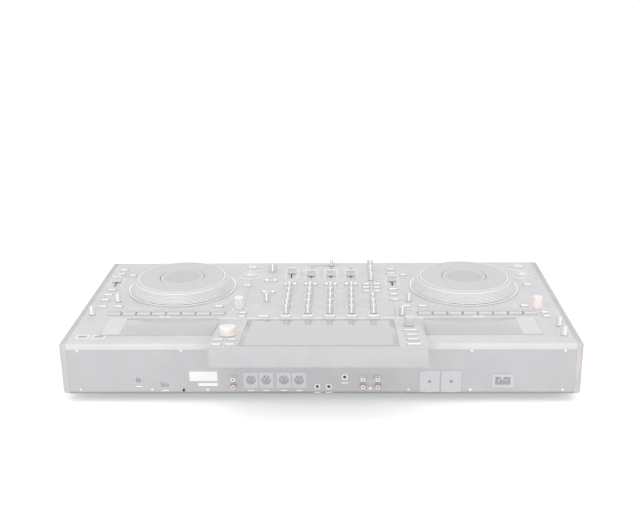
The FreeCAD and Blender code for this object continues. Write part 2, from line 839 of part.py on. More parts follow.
def round_sockets():
    """Every round opening in the rear sheet, as (x, drop, barrel radius, sides)."""
    places = [(x, "xlr_drop", "xlr_barrel", BARREL_SIDES) for x in XLR_PLACES]
    places += [(x, "mic_drop", "xlr_barrel", BARREL_SIDES) for x in MIC_PLACES]
    places += [(x, drop, "jack_barrel", BARREL_SIDES) for x, drop in JACK_PLACES]
    for drop in ("phono_high", "phono_low"):
        places += [(x, drop, "phono_stem", STEM_SIDES) for x in PHONO_PLACES]
    places.append(("ground_x", "ground_drop", "phono_bore", STEM_SIDES))
    return places


def square_sockets():
    """Every square opening in the rear sheet, as (x, drop, width, height)."""
    places = list(DATA_PORTS)
    places.append(("lock_x", "lock_drop", "lock_width", "lock_height"))
    places.append((INLET_X, "inlet_drop", "inlet_width - 2 * inlet_rim + 2 * port_wall",
                   "inlet_height - 2 * inlet_rim + 2 * port_wall"))
    return places


# Screen

def make_display_housing():
    """Wedge that carries the screen, hollowed under the glass and under its two key columns."""
    section = [
        (SCREEN_FRONT, "deck_top"),
        (SCREEN_FRONT, "deck_top + screen_lip"),
        ("overall_depth / 2", "screen_top"),
        ("overall_depth / 2", "screen_top - screen_back"),
        (DECK_REAR, "deck_top - screen_neck"),
        (DECK_REAR, "deck_top"),
    ]
    wedge = padded("wedge", "YZ_Plane", section, SCREEN_WIDTH)
    rear = evaluated("overall_depth / 2")

    def on_back(edge):
        return all(abs(vertex.Y - rear) < 1e-4 for vertex in edge.Vertexes)

    chamfered(wedge, "wedge_bevel", "screen_bevel", on_back)
    glass_bed = box_on_screen("glass_bed", "0", f"glass_setback + {GLASS_DEPTH} / 2", "-glass_thick",
                              "glass_width + 2 * socket_gap", f"{GLASS_DEPTH} + 2 * socket_gap",
                              "glass_thick + 5")
    module_start = up_slope("module_start")
    module_end = f"(glass_setback + {GLASS_DEPTH} - glass_ledge)"
    module_bed = box_on_screen("module_bed", "0", f"({module_start} + {module_end}) / 2",
                               "-glass_thick - module_depth", "glass_width - 2 * glass_ledge",
                               f"{module_end} - {module_start}", "module_depth + 1")
    tools = [glass_bed, module_bed]
    for side in DECKS.values():
        column_end = f"({SCREEN_RUN} / cos({SCREEN_TILT}) - 2 * screen_bevel)"
        tools.append(box_on_screen(f"column_bed_{len(tools)}", f"{side} * {COLUMN_X}",
                                   f"({module_start} + {column_end}) / 2",
                                   "-column_skin - column_depth", "column_width",
                                   f"{column_end} - {module_start}", "column_depth"))
    for x, along, width, depth in SCREEN_KEYS:
        tools.append(box_on_screen(f"screen_hole_{len(tools)}", x, along, "-column_skin - 1",
                                   f"{width} + 2 * key_gap", f"{depth} + 2 * key_gap",
                                   "column_skin + 2"))
    for x, along in (BROWSE_KNOB, VIEW_KNOB):
        hole = faceted_rod(f"screen_hole_{len(tools)}", 0, 0, 0, "stem_radius + stem_gap",
                           "screen_stem + 2", sides=6)
        place_on_screen(hole, x, along, "-screen_stem")
        tools.append(hole)
    shell = cut("display_housing_cut", wedge, grouped("screen_tools", tools))
    posts = []
    x, along = BROWSE_KNOB
    post = faceted_rod("browse_post", 0, 0, 0, "2 * stem_radius",
                       "column_skin + column_depth - screen_stem + 0.5", sides=6)
    place_on_screen(post, x, along, "-column_skin - column_depth - 0.5")
    posts.append(post)
    node("display_housing", fused("display_housing_whole", [shell] + posts))


def box_on_screen(name, x, along, above, length, width, height):
    """Make a block centred on a place of the tilted surface, standing above it."""
    block = document.addObject("Part::Box", name)
    bind(block, Length=length, Width=width, Height=height)
    place_on_screen(block, f"{x} - ({length}) / 2", f"({along}) - ({width}) / 2", above)
    return block


def make_display_glass():
    """Flat cover glass, let into the tilted face."""
    glass = box_on_screen("glass_sheet", "0", f"glass_setback + {GLASS_DEPTH} / 2", "-glass_thick",
                          "glass_width", GLASS_DEPTH, "glass_thick")
    node("display_glass", glass)


def make_deck_inlays():
    """Gloss strips on the deck behind the pads."""
    inner = f"({SCREEN_WIDTH} / 2 + inlay_gap)"
    outer = f"({CASE_HALF} - inlay_margin)"
    inlays = [
        box(f"inlay_{deck}", f"{side} * ({inner} + {outer}) / 2", back("inlay_y"), "deck_top",
            f"{outer} - {inner}", "inlay_depth", "inlay_thick")
        for deck, side in DECKS.items()
    ]
    node("deck_inlays", grouped("deck_inlays_group", inlays))


# Jog wheels

def make_jogs():
    """Fixed base and centre display of each jog, and the wheel that turns round them."""
    guide_radius = "(jog_bore_radius - stem_gap)"
    display_low = "(jog_height - jog_display_drop - jog_display_thick)"
    base_section = [
        ("0", "0"),
        ("jog_ring_radius", "0"),
        ("jog_ring_radius", "jog_ring_height"),
        (guide_radius, "jog_ring_height"),
        (guide_radius, display_low),
        ("0", display_low),
    ]
    wheel_section = [
        ("jog_bore_radius", "jog_ring_height"),
        ("jog_bore_radius + jog_collar", "jog_ring_height"),
        ("jog_bore_radius + jog_collar", "jog_height - jog_wall"),
        ("jog_top_radius", "jog_height - jog_wall"),
        ("jog_skirt_radius - jog_wall", "jog_ring_height + spin_gap"),
        ("jog_skirt_radius", "jog_ring_height + spin_gap"),
        ("jog_top_radius + jog_shoulder", "jog_height - jog_shoulder"),
        ("jog_top_radius", "jog_height"),
        ("jog_bore_radius", "jog_height"),
    ]
    display_radius = "(jog_bore_radius - spin_gap)"
    display_section = [
        ("0", "0"),
        (display_radius, "0"),
        (display_radius, "jog_display_thick"),
        ("0", "jog_display_thick"),
    ]
    bases = []
    displays = []
    for deck, side in DECKS.items():
        base = turned(f"base_{deck}", base_section)
        place(base, deck_x_at(side), back("jog_y"), "deck_top")
        bases.append(base)
        display = turned(f"centre_{deck}", display_section)
        place(display, deck_x_at(side), back("jog_y"), f"deck_top + {display_low}")
        displays.append(display)
        wheel = turned(f"wheel_{deck}", wheel_section)
        place(wheel, deck_x_at(side), back("jog_y"), "deck_top")
        node(f"jog_wheel_{deck}", wheel)
    node("jog_bases", grouped("jog_bases_group", bases))
    node("jog_displays", grouped("jog_displays_group", displays))


# Knobs

def plain_knob(name, radius, height, stem_length):
    """Drafted knob on a square shaft; its origin is on the panel surface."""
    grip = faceted_cone(f"{name}_grip", [
        (radius, "knob_gap"),
        (f"{radius} - knob_draft", height),
    ])
    return fused(name, [grip, knob_shaft(name, stem_length)])


def skirted_knob(name, radius, height, stem_length):
    """Larger knob with a skirt and a bevelled top; its origin is on the panel surface."""
    grip = faceted_cone(f"{name}_grip", [
        (radius, "knob_gap"),
        (radius, "knob_skirt_height"),
        (f"{radius} - knob_draft", "knob_skirt_height + knob_draft"),
        (f"{radius} - 2 * knob_draft", f"{height} - knob_draft"),
        (f"{radius} - 3 * knob_draft", height),
    ], sides=16)
    return fused(name, [grip, knob_shaft(name, stem_length)])


def knob_shaft(name, stem_length):
    """Shaft of a knob, from its potentiometer up to the underside of the grip."""
    return faceted_rod(f"{name}_shaft", "0", "0", f"-({stem_length})", "stem_radius",
                       f"{stem_length} + knob_gap", sides=6)


def make_knobs():
    """Every knob, each standing with its stem on the top of its potentiometer."""
    stem = "(deck_skin + pot_drop)"
    for name, x, y in CHANNEL_KNOBS:
        knob = plain_knob(f"{name}_body", "knob_radius", "knob_height", stem)
        place(knob, x, y, "deck_top")
        node(name, knob)
    for deck, (x, y) in LOOP_KNOBS.items():
        knob = skirted_knob(f"loop_{deck}_body", "loop_radius", "loop_height", stem)
        place(knob, x, y, "deck_top")
        node(f"loop_knob_{deck}", knob)
    master = skirted_knob("master_body", "master_radius", "knob_height", stem)
    place(master, *MASTER_KNOB, "deck_top")
    node("master_level_knob", master)
    side_knobs = []
    for x, y in SIDE_KNOBS:
        knob = plain_knob(f"side_knob_{len(side_knobs)}", "knob_radius", "knob_height", stem)
        place(knob, x, y, "deck_top")
        side_knobs.append(knob)
    node("side_knobs", grouped("side_knobs_group", side_knobs))
    for name, spot, radius, height in (
        ("browse_knob", BROWSE_KNOB, "browse_radius", "browse_height"),
        ("view_knob", VIEW_KNOB, "view_radius", "view_height"),
    ):
        knob = skirted_knob(f"{name}_body", radius, height, "screen_stem")
        place_on_screen(knob, *spot, "0")
        node(name, knob)


# Buttons

def key_body(name, width, depth, rise, skin):
    """Key with a flange below the skin that stops it; its origin is on the panel surface."""
    cap = box(f"{name}_cap", "0", "0", f"-({skin})", width, depth, f"{skin} + {rise}")
    flange = box(f"{name}_flange", "0", "0", f"-({skin}) - key_flange_thick",
                 f"{width} + 2 * key_flange", f"{depth} + 2 * key_flange", "key_flange_thick")
    return fused(name, [cap, flange])


def make_keys():
    """Small keys, pads and the two round transport buttons of each deck."""
    keys = []
    for x, y, width, depth in PANEL_KEYS:
        key = key_body(f"key_{len(keys)}", width, depth, "key_rise", "deck_skin")
        place(key, x, y, "deck_top")
        keys.append(key)
    node("panel_keys", grouped("panel_keys_group", keys))
    screen_keys = []
    for x, along, width, depth in SCREEN_KEYS:
        key = key_body(f"screen_key_{len(screen_keys)}", width, depth, "key_rise", "column_skin")
        place_on_screen(key, x, along, "0")
        screen_keys.append(key)
    node("screen_keys", grouped("screen_keys_group", screen_keys))
    for deck, side in DECKS.items():
        pads = []
        for x in pad_places(side):
            pad = key_body(f"pad_{deck}_{len(pads)}", PAD_WIDTH, "pad_depth", "pad_rise", "deck_skin")
            place(pad, x, back("pads_y"), "deck_top")
            pads.append(pad)
        node(f"pads_{deck}", grouped(f"pads_{deck}_group", pads))
        for name, y in (("play", "play_y"), ("cue", "cue_y")):
            cap = faceted_rod(f"{name}_{deck}_cap", "0", "0", "-deck_skin", "round_radius",
                              "deck_skin + round_rise", sides=24)
            flange = faceted_rod(f"{name}_{deck}_flange", "0", "0", "-deck_skin - key_flange_thick",
                                 "round_radius + 2 * key_flange", "key_flange_thick", sides=12)
            button = fused(f"{name}_{deck}", [cap, flange])
            place(button, deck_x_at(side, "transport_x"), back(y), "deck_top")
            node(f"{name}_button_{deck}", button)


# Faders

def make_faders():
    """Fader caps: a lever through the slot, carrying a waisted finger grip."""
    for fader in FADERS:
        name, x, y, _, runs_x, rest = fader
        across = "cross_cap_width" if runs_x else "cap_width"
        section = [
            ("-cap_length / 2", "cap_rise"),
            ("cap_length / 2", "cap_rise"),
            ("cap_length / 2 - cap_taper", "cap_rise + cap_height * 0.55"),
            ("cap_length / 2 - cap_taper / 2", "cap_rise + cap_height"),
            ("cap_groove", "cap_rise + cap_height"),
            ("0", "cap_rise + cap_height - cap_groove"),
            ("-cap_groove", "cap_rise + cap_height"),
            ("-cap_length / 2 + cap_taper / 2", "cap_rise + cap_height"),
            ("-cap_length / 2 + cap_taper", "cap_rise + cap_height * 0.55"),
        ]
        grip = padded(f"{name}_grip", "YZ_Plane", section, across)
        lever = box(f"{name}_lever", "0", "0", "-deck_skin - pot_drop", "lever_width", "lever_length",
                    "deck_skin + pot_drop + cap_rise")
        cap = fused(f"{name}_cap", [grip, lever])
        if runs_x:
            turn(cap, "90", axis=(0, 0, 1))
            place(cap, f"{x} + {rest}", y, "deck_top")
        else:
            place(cap, x, f"{y} + {rest}", "deck_top")
        node(name, cap)


def make_control_board():
    """Three boards under the deck with a potentiometer or fader body under each control."""
    solids = []
    low = f"({BOARD_TOP} - board_thick)"
    depth = "(deck_depth - 2 * case_wall - 2 * board_side)"
    middle_y = f"(({FRONT} + {DECK_REAR}) / 2)"
    outer = f"({CASE_HALF} - case_wall - board_side / 2)"
    inner = "(board_split + board_split_gap)"
    solids.append(box("mixer_board", "0", middle_y, low, "2 * board_split", depth, "board_thick"))
    for side in DECKS.values():
        board = box(f"deck_board_{len(solids)}", f"{side} * ({inner} + {outer}) / 2", middle_y, low,
                    f"{outer} - {inner}", depth, "board_thick")
        if side > 0:
            notches = [
                box(f"usb_notch_{number}", x, USB_Y, f"{low} - 1", "usb_width + 2 * stem_gap",
                    "usb_height + 2 * stem_gap", "board_thick + 2")
                for number, x in enumerate(usb_places())
            ]
            board = cut("notched_board", board, grouped("usb_notches", notches))
        solids.append(board)
    pots = [(x, y) for _, x, y in CHANNEL_KNOBS] + SIDE_KNOBS + [MASTER_KNOB] + list(LOOP_KNOBS.values())
    for x, y in pots:
        solids.append(box(f"pot_{len(solids)}", x, y, BOARD_TOP, "pot_width", "pot_width", "pot_height"))
    for fader in FADERS:
        along = f"({fader[3]} + lever_length + 2 * fader_body_end)"
        solids.append(fader_box(f"fader_body_{len(solids)}", fader, BOARD_TOP, along,
                                "fader_body_width", "pot_height"))
    node("control_board", grouped("control_board_group", solids))


# Sockets

def stand_in_wall(thing, x, drop, facing=1):
    """Stand a socket, made along its own +Z, in the rear wall or, facing -1, in the front wall."""
    turn(thing, f"{-90 * facing}")
    face = REAR_FACE if facing == 1 else f"({FRONT} + panel_inset)"
    place(thing, x, face, f"deck_top - ({drop})")


def socket_body(name, plate, barrel, bore, depth):
    """Socket with a front plate, a barrel behind it and a blind bore; its own +Z points out."""
    tube = faceted_rod(f"{name}_barrel", "0", "0", f"-({depth}) - barrel_wall", barrel,
                       f"{depth} + barrel_wall")
    whole = fused(f"{name}_whole", [plate, tube])
    hole = faceted_rod(f"{name}_bore", "0", "0", f"-({depth})", bore, f"{depth} + flange_thick + 1")
    return cut(name, whole, hole)


def make_sockets():
    """Audio sockets, data ports and the mains inlet."""
    xlrs = []
    for x in XLR_PLACES:
        name = f"xlr_{len(xlrs)}"
        plate = box(f"{name}_plate", "0", "0", "0", "xlr_flange_width", "xlr_flange_height", "flange_thick")
        socket = socket_body(name, plate, "xlr_barrel", "xlr_bore", "xlr_depth")
        stand_in_wall(socket, x, "xlr_drop")
        xlrs.append(socket)
    for x in MIC_PLACES:
        name = f"mic_{len(xlrs)}"
        plate = box(f"{name}_plate", "0", "0", "0", "mic_plate_width", "mic_plate_height", "flange_thick")
        socket = socket_body(name, plate, "xlr_barrel", "jack_bore", "jack_depth")
        stand_in_wall(socket, x, "mic_drop")
        xlrs.append(socket)
    node("xlr_sockets", grouped("xlr_sockets_group", xlrs))

    jacks = []
    for x, drop in JACK_PLACES:
        name = f"jack_{len(jacks)}"
        nut = faceted_rod(f"{name}_nut", "0", "0", "0", "jack_nut", "flange_thick", sides=6)
        socket = socket_body(name, nut, "jack_barrel", "jack_bore", "jack_depth")
        stand_in_wall(socket, x, drop)
        jacks.append(socket)
    for number, bore in enumerate(("jack_bore", "mini_bore")):
        name = f"jack_{len(jacks)}"
        barrel = "jack_barrel" if number == 0 else "mini_bore + barrel_wall"
        nut = faceted_rod(f"{name}_nut", "0", "0", "0", f"{barrel} + barrel_wall", "panel_inset")
        socket = socket_body(name, nut, barrel, bore, "jack_depth")
        stand_in_wall(socket, f"phones_x + {number} * phones_pitch", "phones_drop", facing=-1)
        jacks.append(socket)
    node("jack_sockets", grouped("jack_sockets_group", jacks))

    phonos = []
    for x in PHONO_PLACES:
        for drop in ("phono_high", "phono_low"):
            name = f"phono_{len(phonos)}"
            ring = faceted_rod(f"{name}_ring", "0", "0", "0", "phono_ring", "flange_thick", sides=STEM_SIDES)
            stem = faceted_rod(f"{name}_stem", "0", "0", "-phono_reach", "phono_stem",
                               "2 * phono_reach", sides=8)
            hole = faceted_rod(f"{name}_bore", "0", "0", "0", "phono_bore", "phono_reach + 1", sides=6)
            socket = cut(name, fused(f"{name}_whole", [ring, stem]), hole)
            stand_in_wall(socket, x, drop)
            phonos.append(socket)
    post = fused("ground_post", [
        faceted_rod("ground_head", "0", "0", "0", "jack_bore", "phono_reach / 2"),
        faceted_rod("ground_shank", "0", "0", "-phono_reach", "phono_bore", "phono_reach", sides=6),
    ])
    stand_in_wall(post, "ground_x", "ground_drop")
    phonos.append(post)
    node("phono_sockets", grouped("phono_sockets_group", phonos))

    ports = []
    for x, drop, width, height in DATA_PORTS:
        port = port_body(f"port_{len(ports)}", width, height)
        stand_in_wall(port, x, drop)
        ports.append(port)
    for x in usb_places():
        port = port_body(f"port_{len(ports)}", "usb_width", "usb_height")
        place(port, x, USB_Y, "deck_top")
        ports.append(port)
    node("data_ports", grouped("data_ports_group", ports))

    rim = box("inlet_flange", "0", "0", "0", "inlet_width", "inlet_height", "flange_thick")
    shell = box("inlet_shell", "0", "0", "-inlet_depth - barrel_wall",
                "inlet_width - 2 * inlet_rim + 2 * port_wall",
                "inlet_height - 2 * inlet_rim + 2 * port_wall", "inlet_depth + barrel_wall")
    recess = box("inlet_recess", "0", "0", "-inlet_depth", "inlet_width - 2 * inlet_rim",
                 "inlet_height - 2 * inlet_rim", "inlet_depth + flange_thick + 1")
    inlet = cut("inlet_cut", fused("inlet_whole", [rim, shell]), recess)
    stand_in_wall(inlet, INLET_X, "inlet_drop")
    node("power_inlet", inlet)


def port_body(name, width, height):
    """Data port: a shell with a thin rim outside the panel and a blind mouth."""
    shell = box(f"{name}_shell", "0", "0", "-port_depth", width, height, "port_depth + port_lip")
    rim = box(f"{name}_rim", "0", "0", "0", f"{width} + 2 * port_wall", f"{height} + 2 * port_wall",
              "port_lip")
    mouth = box(f"{name}_mouth", "0", "0", "-port_depth + port_wall", f"{width} - 2 * port_sheet",
                f"{height} - 2 * port_sheet", "port_depth + 1")
    return cut(name, fused(f"{name}_whole", [shell, rim]), mouth)


def check_document():
    """Stop if any feature failed or any sub-part has no valid shape."""
    document.recompute()
    for item in document.Objects:
        if "Invalid" in item.State or "Error" in item.State:
            raise RuntimeError(f"{item.Name} failed: {item.State}")
    for name, item in nodes.items():
        if item.Shape.isNull() or not item.Shape.isValid() or not item.Shape.Solids:
            raise RuntimeError(f"{name} has no valid solid")


def export():
    """Write one STEP file for each sub-part."""
    os.makedirs("parts", exist_ok=True)
    for name, item in nodes.items():
        item.Shape.exportStep(f"parts/{name}.step")


make_side_cheeks()
make_front_panel()
make_bottom_plate()
make_feet()
make_upper_case()
make_rear_panel()
make_display_housing()
make_display_glass()
make_deck_inlays()
make_jogs()
make_knobs()
make_keys()
make_faders()
make_control_board()
make_sockets()
check_document()
export()
print(len(nodes), "sub-parts")
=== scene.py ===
"""Finishes and fine detail of a pale four-channel DJ controller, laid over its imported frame."""

import json
import logging
import math
from dataclasses import dataclass, field
from enum import Enum
from typing import Any, Iterable, Sequence

import bmesh
import bpy
from mathutils import Matrix, Vector


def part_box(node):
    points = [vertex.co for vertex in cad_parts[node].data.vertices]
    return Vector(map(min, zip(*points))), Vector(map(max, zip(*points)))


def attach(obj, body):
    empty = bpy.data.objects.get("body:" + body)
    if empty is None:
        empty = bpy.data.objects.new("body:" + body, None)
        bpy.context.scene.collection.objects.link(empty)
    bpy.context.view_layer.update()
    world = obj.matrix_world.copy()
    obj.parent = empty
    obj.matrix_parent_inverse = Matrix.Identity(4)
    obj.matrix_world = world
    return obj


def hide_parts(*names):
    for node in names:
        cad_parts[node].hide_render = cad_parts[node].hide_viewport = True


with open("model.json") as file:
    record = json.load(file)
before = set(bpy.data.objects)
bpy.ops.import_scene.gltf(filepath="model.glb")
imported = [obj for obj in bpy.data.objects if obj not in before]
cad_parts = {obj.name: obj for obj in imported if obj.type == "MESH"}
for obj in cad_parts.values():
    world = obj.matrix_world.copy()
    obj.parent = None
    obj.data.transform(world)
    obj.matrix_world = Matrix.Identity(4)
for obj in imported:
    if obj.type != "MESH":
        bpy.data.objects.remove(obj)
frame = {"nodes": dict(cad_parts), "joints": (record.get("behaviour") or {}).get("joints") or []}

LOG = logging.getLogger("dj_controller")
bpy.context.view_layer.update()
MM = 0.001
CHASSIS = "chassis"
DECK_NAMES = ("left", "right")
SIDES = {"left": -1, "right": 1}
UP = Vector((0, 0, 1))
TO_REAR = Matrix.Rotation(math.radians(-90), 4, "X")
# Points nearer than this are one point: in new shapes, and in a node's loose triangles.
MERGE = 1e-7
NODE_MERGE = 2e-6
NODES: dict[str, bpy.types.Object] = frame["nodes"]
JOINTS: dict[str, dict[str, Any]] = {joint["child"]: joint for joint in frame["joints"]}
SCREEN_TILT = Vector(JOINTS["browse_knob"]["axis"])


def linear(code: str) -> tuple[float, float, float, float]:
    """Turn an sRGB hex colour into linear values.

    Args:
        code: Six hex digits after a hash sign.

    Returns:
        Linear red, green and blue with an alpha of one.
    """
    channels = [int(code[place:place + 2], 16) / 255 for place in (1, 3, 5)]
    red, green, blue = (level / 12.92 if level <= 0.04045 else ((level + 0.055) / 1.055) ** 2.4
                        for level in channels)
    return (red, green, blue, 1.0)


def add_node(tree: bpy.types.NodeTree, kind: str, settings: dict[str, Any] | None = None,
             inputs: dict[Any, Any] | None = None) -> bpy.types.Node:
    """Add a node, set it up and link it.

    Args:
        tree: The node tree that gets the node.
        kind: The node's type name.
        settings: Attribute values of the node.
        inputs: Values or output sockets for its inputs, by name or place.

    Returns:
        The new node.
    """
    node = tree.nodes.new(kind)
    for name, value in (settings or {}).items():
        setattr(node, name, value)
    for name, value in (inputs or {}).items():
        if isinstance(value, bpy.types.NodeSocket):
            tree.links.new(value, node.inputs[name])
        else:
            node.inputs[name].default_value = value
    return node


class Surface(Enum):
    """How a surface was made, which sets its relief pattern."""

    MOULDED = "moulded"
    BRUSHED = "brushed"
    TURNED = "turned"
    POLISHED = "polished"


@dataclass(frozen=True)
class Finish:
    """A real finish: its colours, gloss and relief, with sizes in millimetres."""

    name: str
    colour: str
    shade: str
    roughness: float
    surface: Surface = Surface.MOULDED
    metallic: float = 0.0
    ior: float = 1.5
    coat: float = 0.0
    grain_mm: float = 1.2
    relief_mm: float = 0.03
    mottle_mm: float = 40.0
    glow: float = 0.0

    def material(self, centre: Sequence[float] = (0.0, 0.0, 0.0)) -> bpy.types.Material:
        """Build the node material.

        Args:
            centre: The middle of a turned pattern.

        Returns:
            A material that reads object coordinates only.
        """
        suffix = "" if not any(centre) else f"_{round(centre[0] * 1000)}_{round(centre[1] * 1000)}"
        known = bpy.data.materials.get(self.name + suffix)
        if known:
            return known
        material = bpy.data.materials.new(self.name + suffix)
        material.use_nodes = True
        tree = material.node_tree
        tree.nodes.clear()
        place = add_node(tree, "ShaderNodeTexCoord")
        centred = add_node(tree, "ShaderNodeMapping", {"vector_type": "POINT"}, {
            "Vector": place.outputs["Object"],
            "Location": [-value for value in centre],
        })
        mottle = add_node(tree, "ShaderNodeTexNoise", None, {
            "Vector": centred.outputs["Vector"],
            "Scale": 1000 / self.mottle_mm,
            "Detail": 4.0,
        })
        blend = add_node(tree, "ShaderNodeMapRange", None, {
            "Value": mottle.outputs["Fac"], "From Min": 0.35, "From Max": 0.65,
        })
        colour = add_node(tree, "ShaderNodeMix", {"data_type": "RGBA"}, {
            0: blend.outputs["Result"], 6: linear(self.colour), 7: linear(self.shade),
        })
        relief = self.relief(tree, centred.outputs["Vector"])
        gloss = add_node(tree, "ShaderNodeMapRange", None, {
            "Value": relief,
            "To Min": max(self.roughness - 0.05, 0.02),
            "To Max": self.roughness + 0.07,
        })
        bump = add_node(tree, "ShaderNodeBump", None, {
            "Height": relief, "Strength": 0.6, "Distance": self.relief_mm * MM,
        })
        shader = add_node(tree, "ShaderNodeBsdfPrincipled", None, {
            "Base Color": colour.outputs[2],
            "Roughness": gloss.outputs["Result"],
            "Normal": bump.outputs["Normal"],
            "Metallic": self.metallic,
            "IOR": self.ior,
            "Coat Weight": self.coat,
            "Coat Roughness": 0.08,
            "Emission Color": linear(self.colour),
            "Emission Strength": self.glow,
        })
        add_node(tree, "ShaderNodeOutputMaterial", None, {"Surface": shader.outputs["BSDF"]})
        return material

    def relief(self, tree: bpy.types.NodeTree,
               vector: bpy.types.NodeSocket) -> bpy.types.NodeSocket:
        """Add the relief pattern of the way the surface was made.

        Args:
            tree: The material's node tree.
            vector: Object coordinates about the pattern's centre.

        Returns:
            The pattern's height, from nought to one.
        """
        if self.surface is Surface.TURNED:
            # The wave texture repeats every tenth of pi over its scale: rings one grain apart.
            rings_about_z = {"wave_type": "RINGS", "rings_direction": "Z"}
            rings = add_node(tree, "ShaderNodeTexWave", rings_about_z, {
                "Vector": vector,
                "Scale": 2 * math.pi / (20 * self.grain_mm * MM),
                "Distortion": 0.4,
                "Detail": 2.0,
            })
            return rings.outputs["Fac"]
        stretch = (0.02, 1.0, 1.0) if self.surface is Surface.BRUSHED else (1.0, 1.0, 1.0)
        stretched = add_node(tree, "ShaderNodeMapping", None, {"Vector": vector, "Scale": stretch})
        noise = add_node(tree, "ShaderNodeTexNoise", None, {
            "Vector": stretched.outputs["Vector"],
            "Scale": 1000 / self.grain_mm,
            "Detail": 3.0,
        })
        return noise.outputs["Fac"]


# Powder coat on an aluminium pressing: even, satin, with a faint orange-peel grain.
DECK_COAT = Finish("powder_coated_aluminium", "#DCDCDD", "#D7D7D9", 0.42, grain_mm=1.6,
                   relief_mm=0.05)
# Painted steel sheet of the rear wall: drier than the deck, and a little darker as painted shade
# of the upright wall.
WALL_COAT_SHADED = Finish("painted_steel_sheet", "#C0C0C2", "#BCBCBE", 0.5, grain_mm=1.4, relief_mm=0.04)
# Zinc-plated and coated bottom sheet: dull.
BOTTOM_COAT = Finish("coated_bottom_sheet", "#A9A9AD", "#9F9FA4", 0.6, grain_mm=2.0,
                     relief_mm=0.05)
# Satin ABS mouldings: screen housing and cheeks, the cheeks faintly warm. The housing is one grey
# moulding in two tones: lighter on its upward faces as painted light, darker on the others as
# painted shade.
HOUSING_SHADED_SIDES = Finish("satin_abs", "#C2C2C4", "#BEBEC0", 0.38, grain_mm=1.0, relief_mm=0.03)
HOUSING_LIT_TOP = Finish("satin_abs_top", "#DADADC", "#D6D6D8", 0.36, grain_mm=1.0, relief_mm=0.03)
CHEEK_ABS = Finish("warm_satin_abs", "#CBC7C5", "#C6C1BF", 0.4, grain_mm=1.0, relief_mm=0.03)
FRONT_ABS = Finish("matte_abs", "#C9C9CB", "#C3C3C5", 0.5, grain_mm=1.0, relief_mm=0.03)
# Hard-coated cover glass over a switched-off panel: smooth, grey and mirror-like.
COVER_GLASS = Finish("cover_glass", "#B6B6B8", "#B2B2B5", 0.07, Surface.POLISHED, coat=0.6,
                     grain_mm=60.0, relief_mm=0.01, mottle_mm=120.0)
PANEL_GLASS = Finish("panel_glass", "#BEBEC1", "#BABABD", 0.06, Surface.POLISHED, coat=0.6,
                     grain_mm=60.0, relief_mm=0.01, mottle_mm=120.0)
# Gloss acrylic inlays: clear lacquer over a grey back. The lighter satin field at each outer end
# is a painted reflection.
INLAY_GLOSS = Finish("gloss_acrylic", "#C6C6C8", "#C2C2C5", 0.1, Surface.POLISHED, coat=0.6,
                     grain_mm=50.0, relief_mm=0.01, mottle_mm=90.0)
INLAY_PAINTED_REFLECTION = Finish("satin_acrylic", "#E2E2E3", "#DDDDDF", 0.3, grain_mm=0.8, relief_mm=0.01)
# Jog wheel: turned top plate with fine rings, and a moulded side. The near-white, faintly glowing
# crests of its ridges are painted highlights.
JOG_TOP = Finish("turned_jog_plate", "#D3D3D5", "#D0D0D2", 0.34, Surface.TURNED, grain_mm=1.5,
                 relief_mm=0.03, mottle_mm=70.0)
JOG_SIDE = Finish("ribbed_jog_side", "#D8D8DA", "#D4D4D6", 0.4, grain_mm=1.0, relief_mm=0.03)
JOG_RIDGE_HIGHLIGHT = Finish("bright_jog_ridge", "#F6F6F6", "#F0F0F1", 0.35, grain_mm=0.8,
                   relief_mm=0.01, glow=0.08)
JOG_BASE = Finish("jog_base_abs", "#D5D5D7", "#D0D0D2", 0.4, grain_mm=1.0, relief_mm=0.03)
# Soft-touch paint on the knobs: matte with a slight sheen.
KNOB_SOFT = Finish("soft_touch_knob", "#DEDEE0", "#D9D9DB", 0.5, grain_mm=0.6, relief_mm=0.02)
# Encoders lit from inside, in a pale copper pink.
LIT_COPPER = Finish("lit_copper_encoder", "#F1E9E6", "#EDDFD9", 0.35, coat=0.2, grain_mm=0.8,
                    relief_mm=0.02, mottle_mm=9.0, glow=0.08)
# Translucent key tops over white lamps, and plain grey ones.
LIT_WHITE = Finish("lit_white_key", "#F8F8F8", "#F2F2F3", 0.35, grain_mm=0.8, relief_mm=0.01,
                   glow=0.5)
KEY_GREY = Finish("grey_key_top", "#E0E0E2", "#DBDBDD", 0.4, grain_mm=0.8, relief_mm=0.02)
# Screen-printed white ink, flat and bright, whose glow is painted light. The same white also
# paints highlights on the jog wheels and encoders.
INK_AND_HIGHLIGHT = Finish("white_print", "#FCFCFC", "#F7F7F7", 0.6, grain_mm=0.6, relief_mm=0.01, glow=0.35)
# Open seam between two panels: a thin grey shadow line.
SEAM = Finish("panel_seam", "#BDBDC0", "#B8B8BB", 0.7, grain_mm=1.0, relief_mm=0.01)
PAD_RUBBER = Finish("silicone_pad", "#D3D3D5", "#CECED1", 0.6, grain_mm=0.9, relief_mm=0.04)
NICKEL = Finish("nickel_plate", "#E2E2E3", "#D8D8DA", 0.42, Surface.BRUSHED, metallic=0.7,
                grain_mm=0.8, relief_mm=0.01)
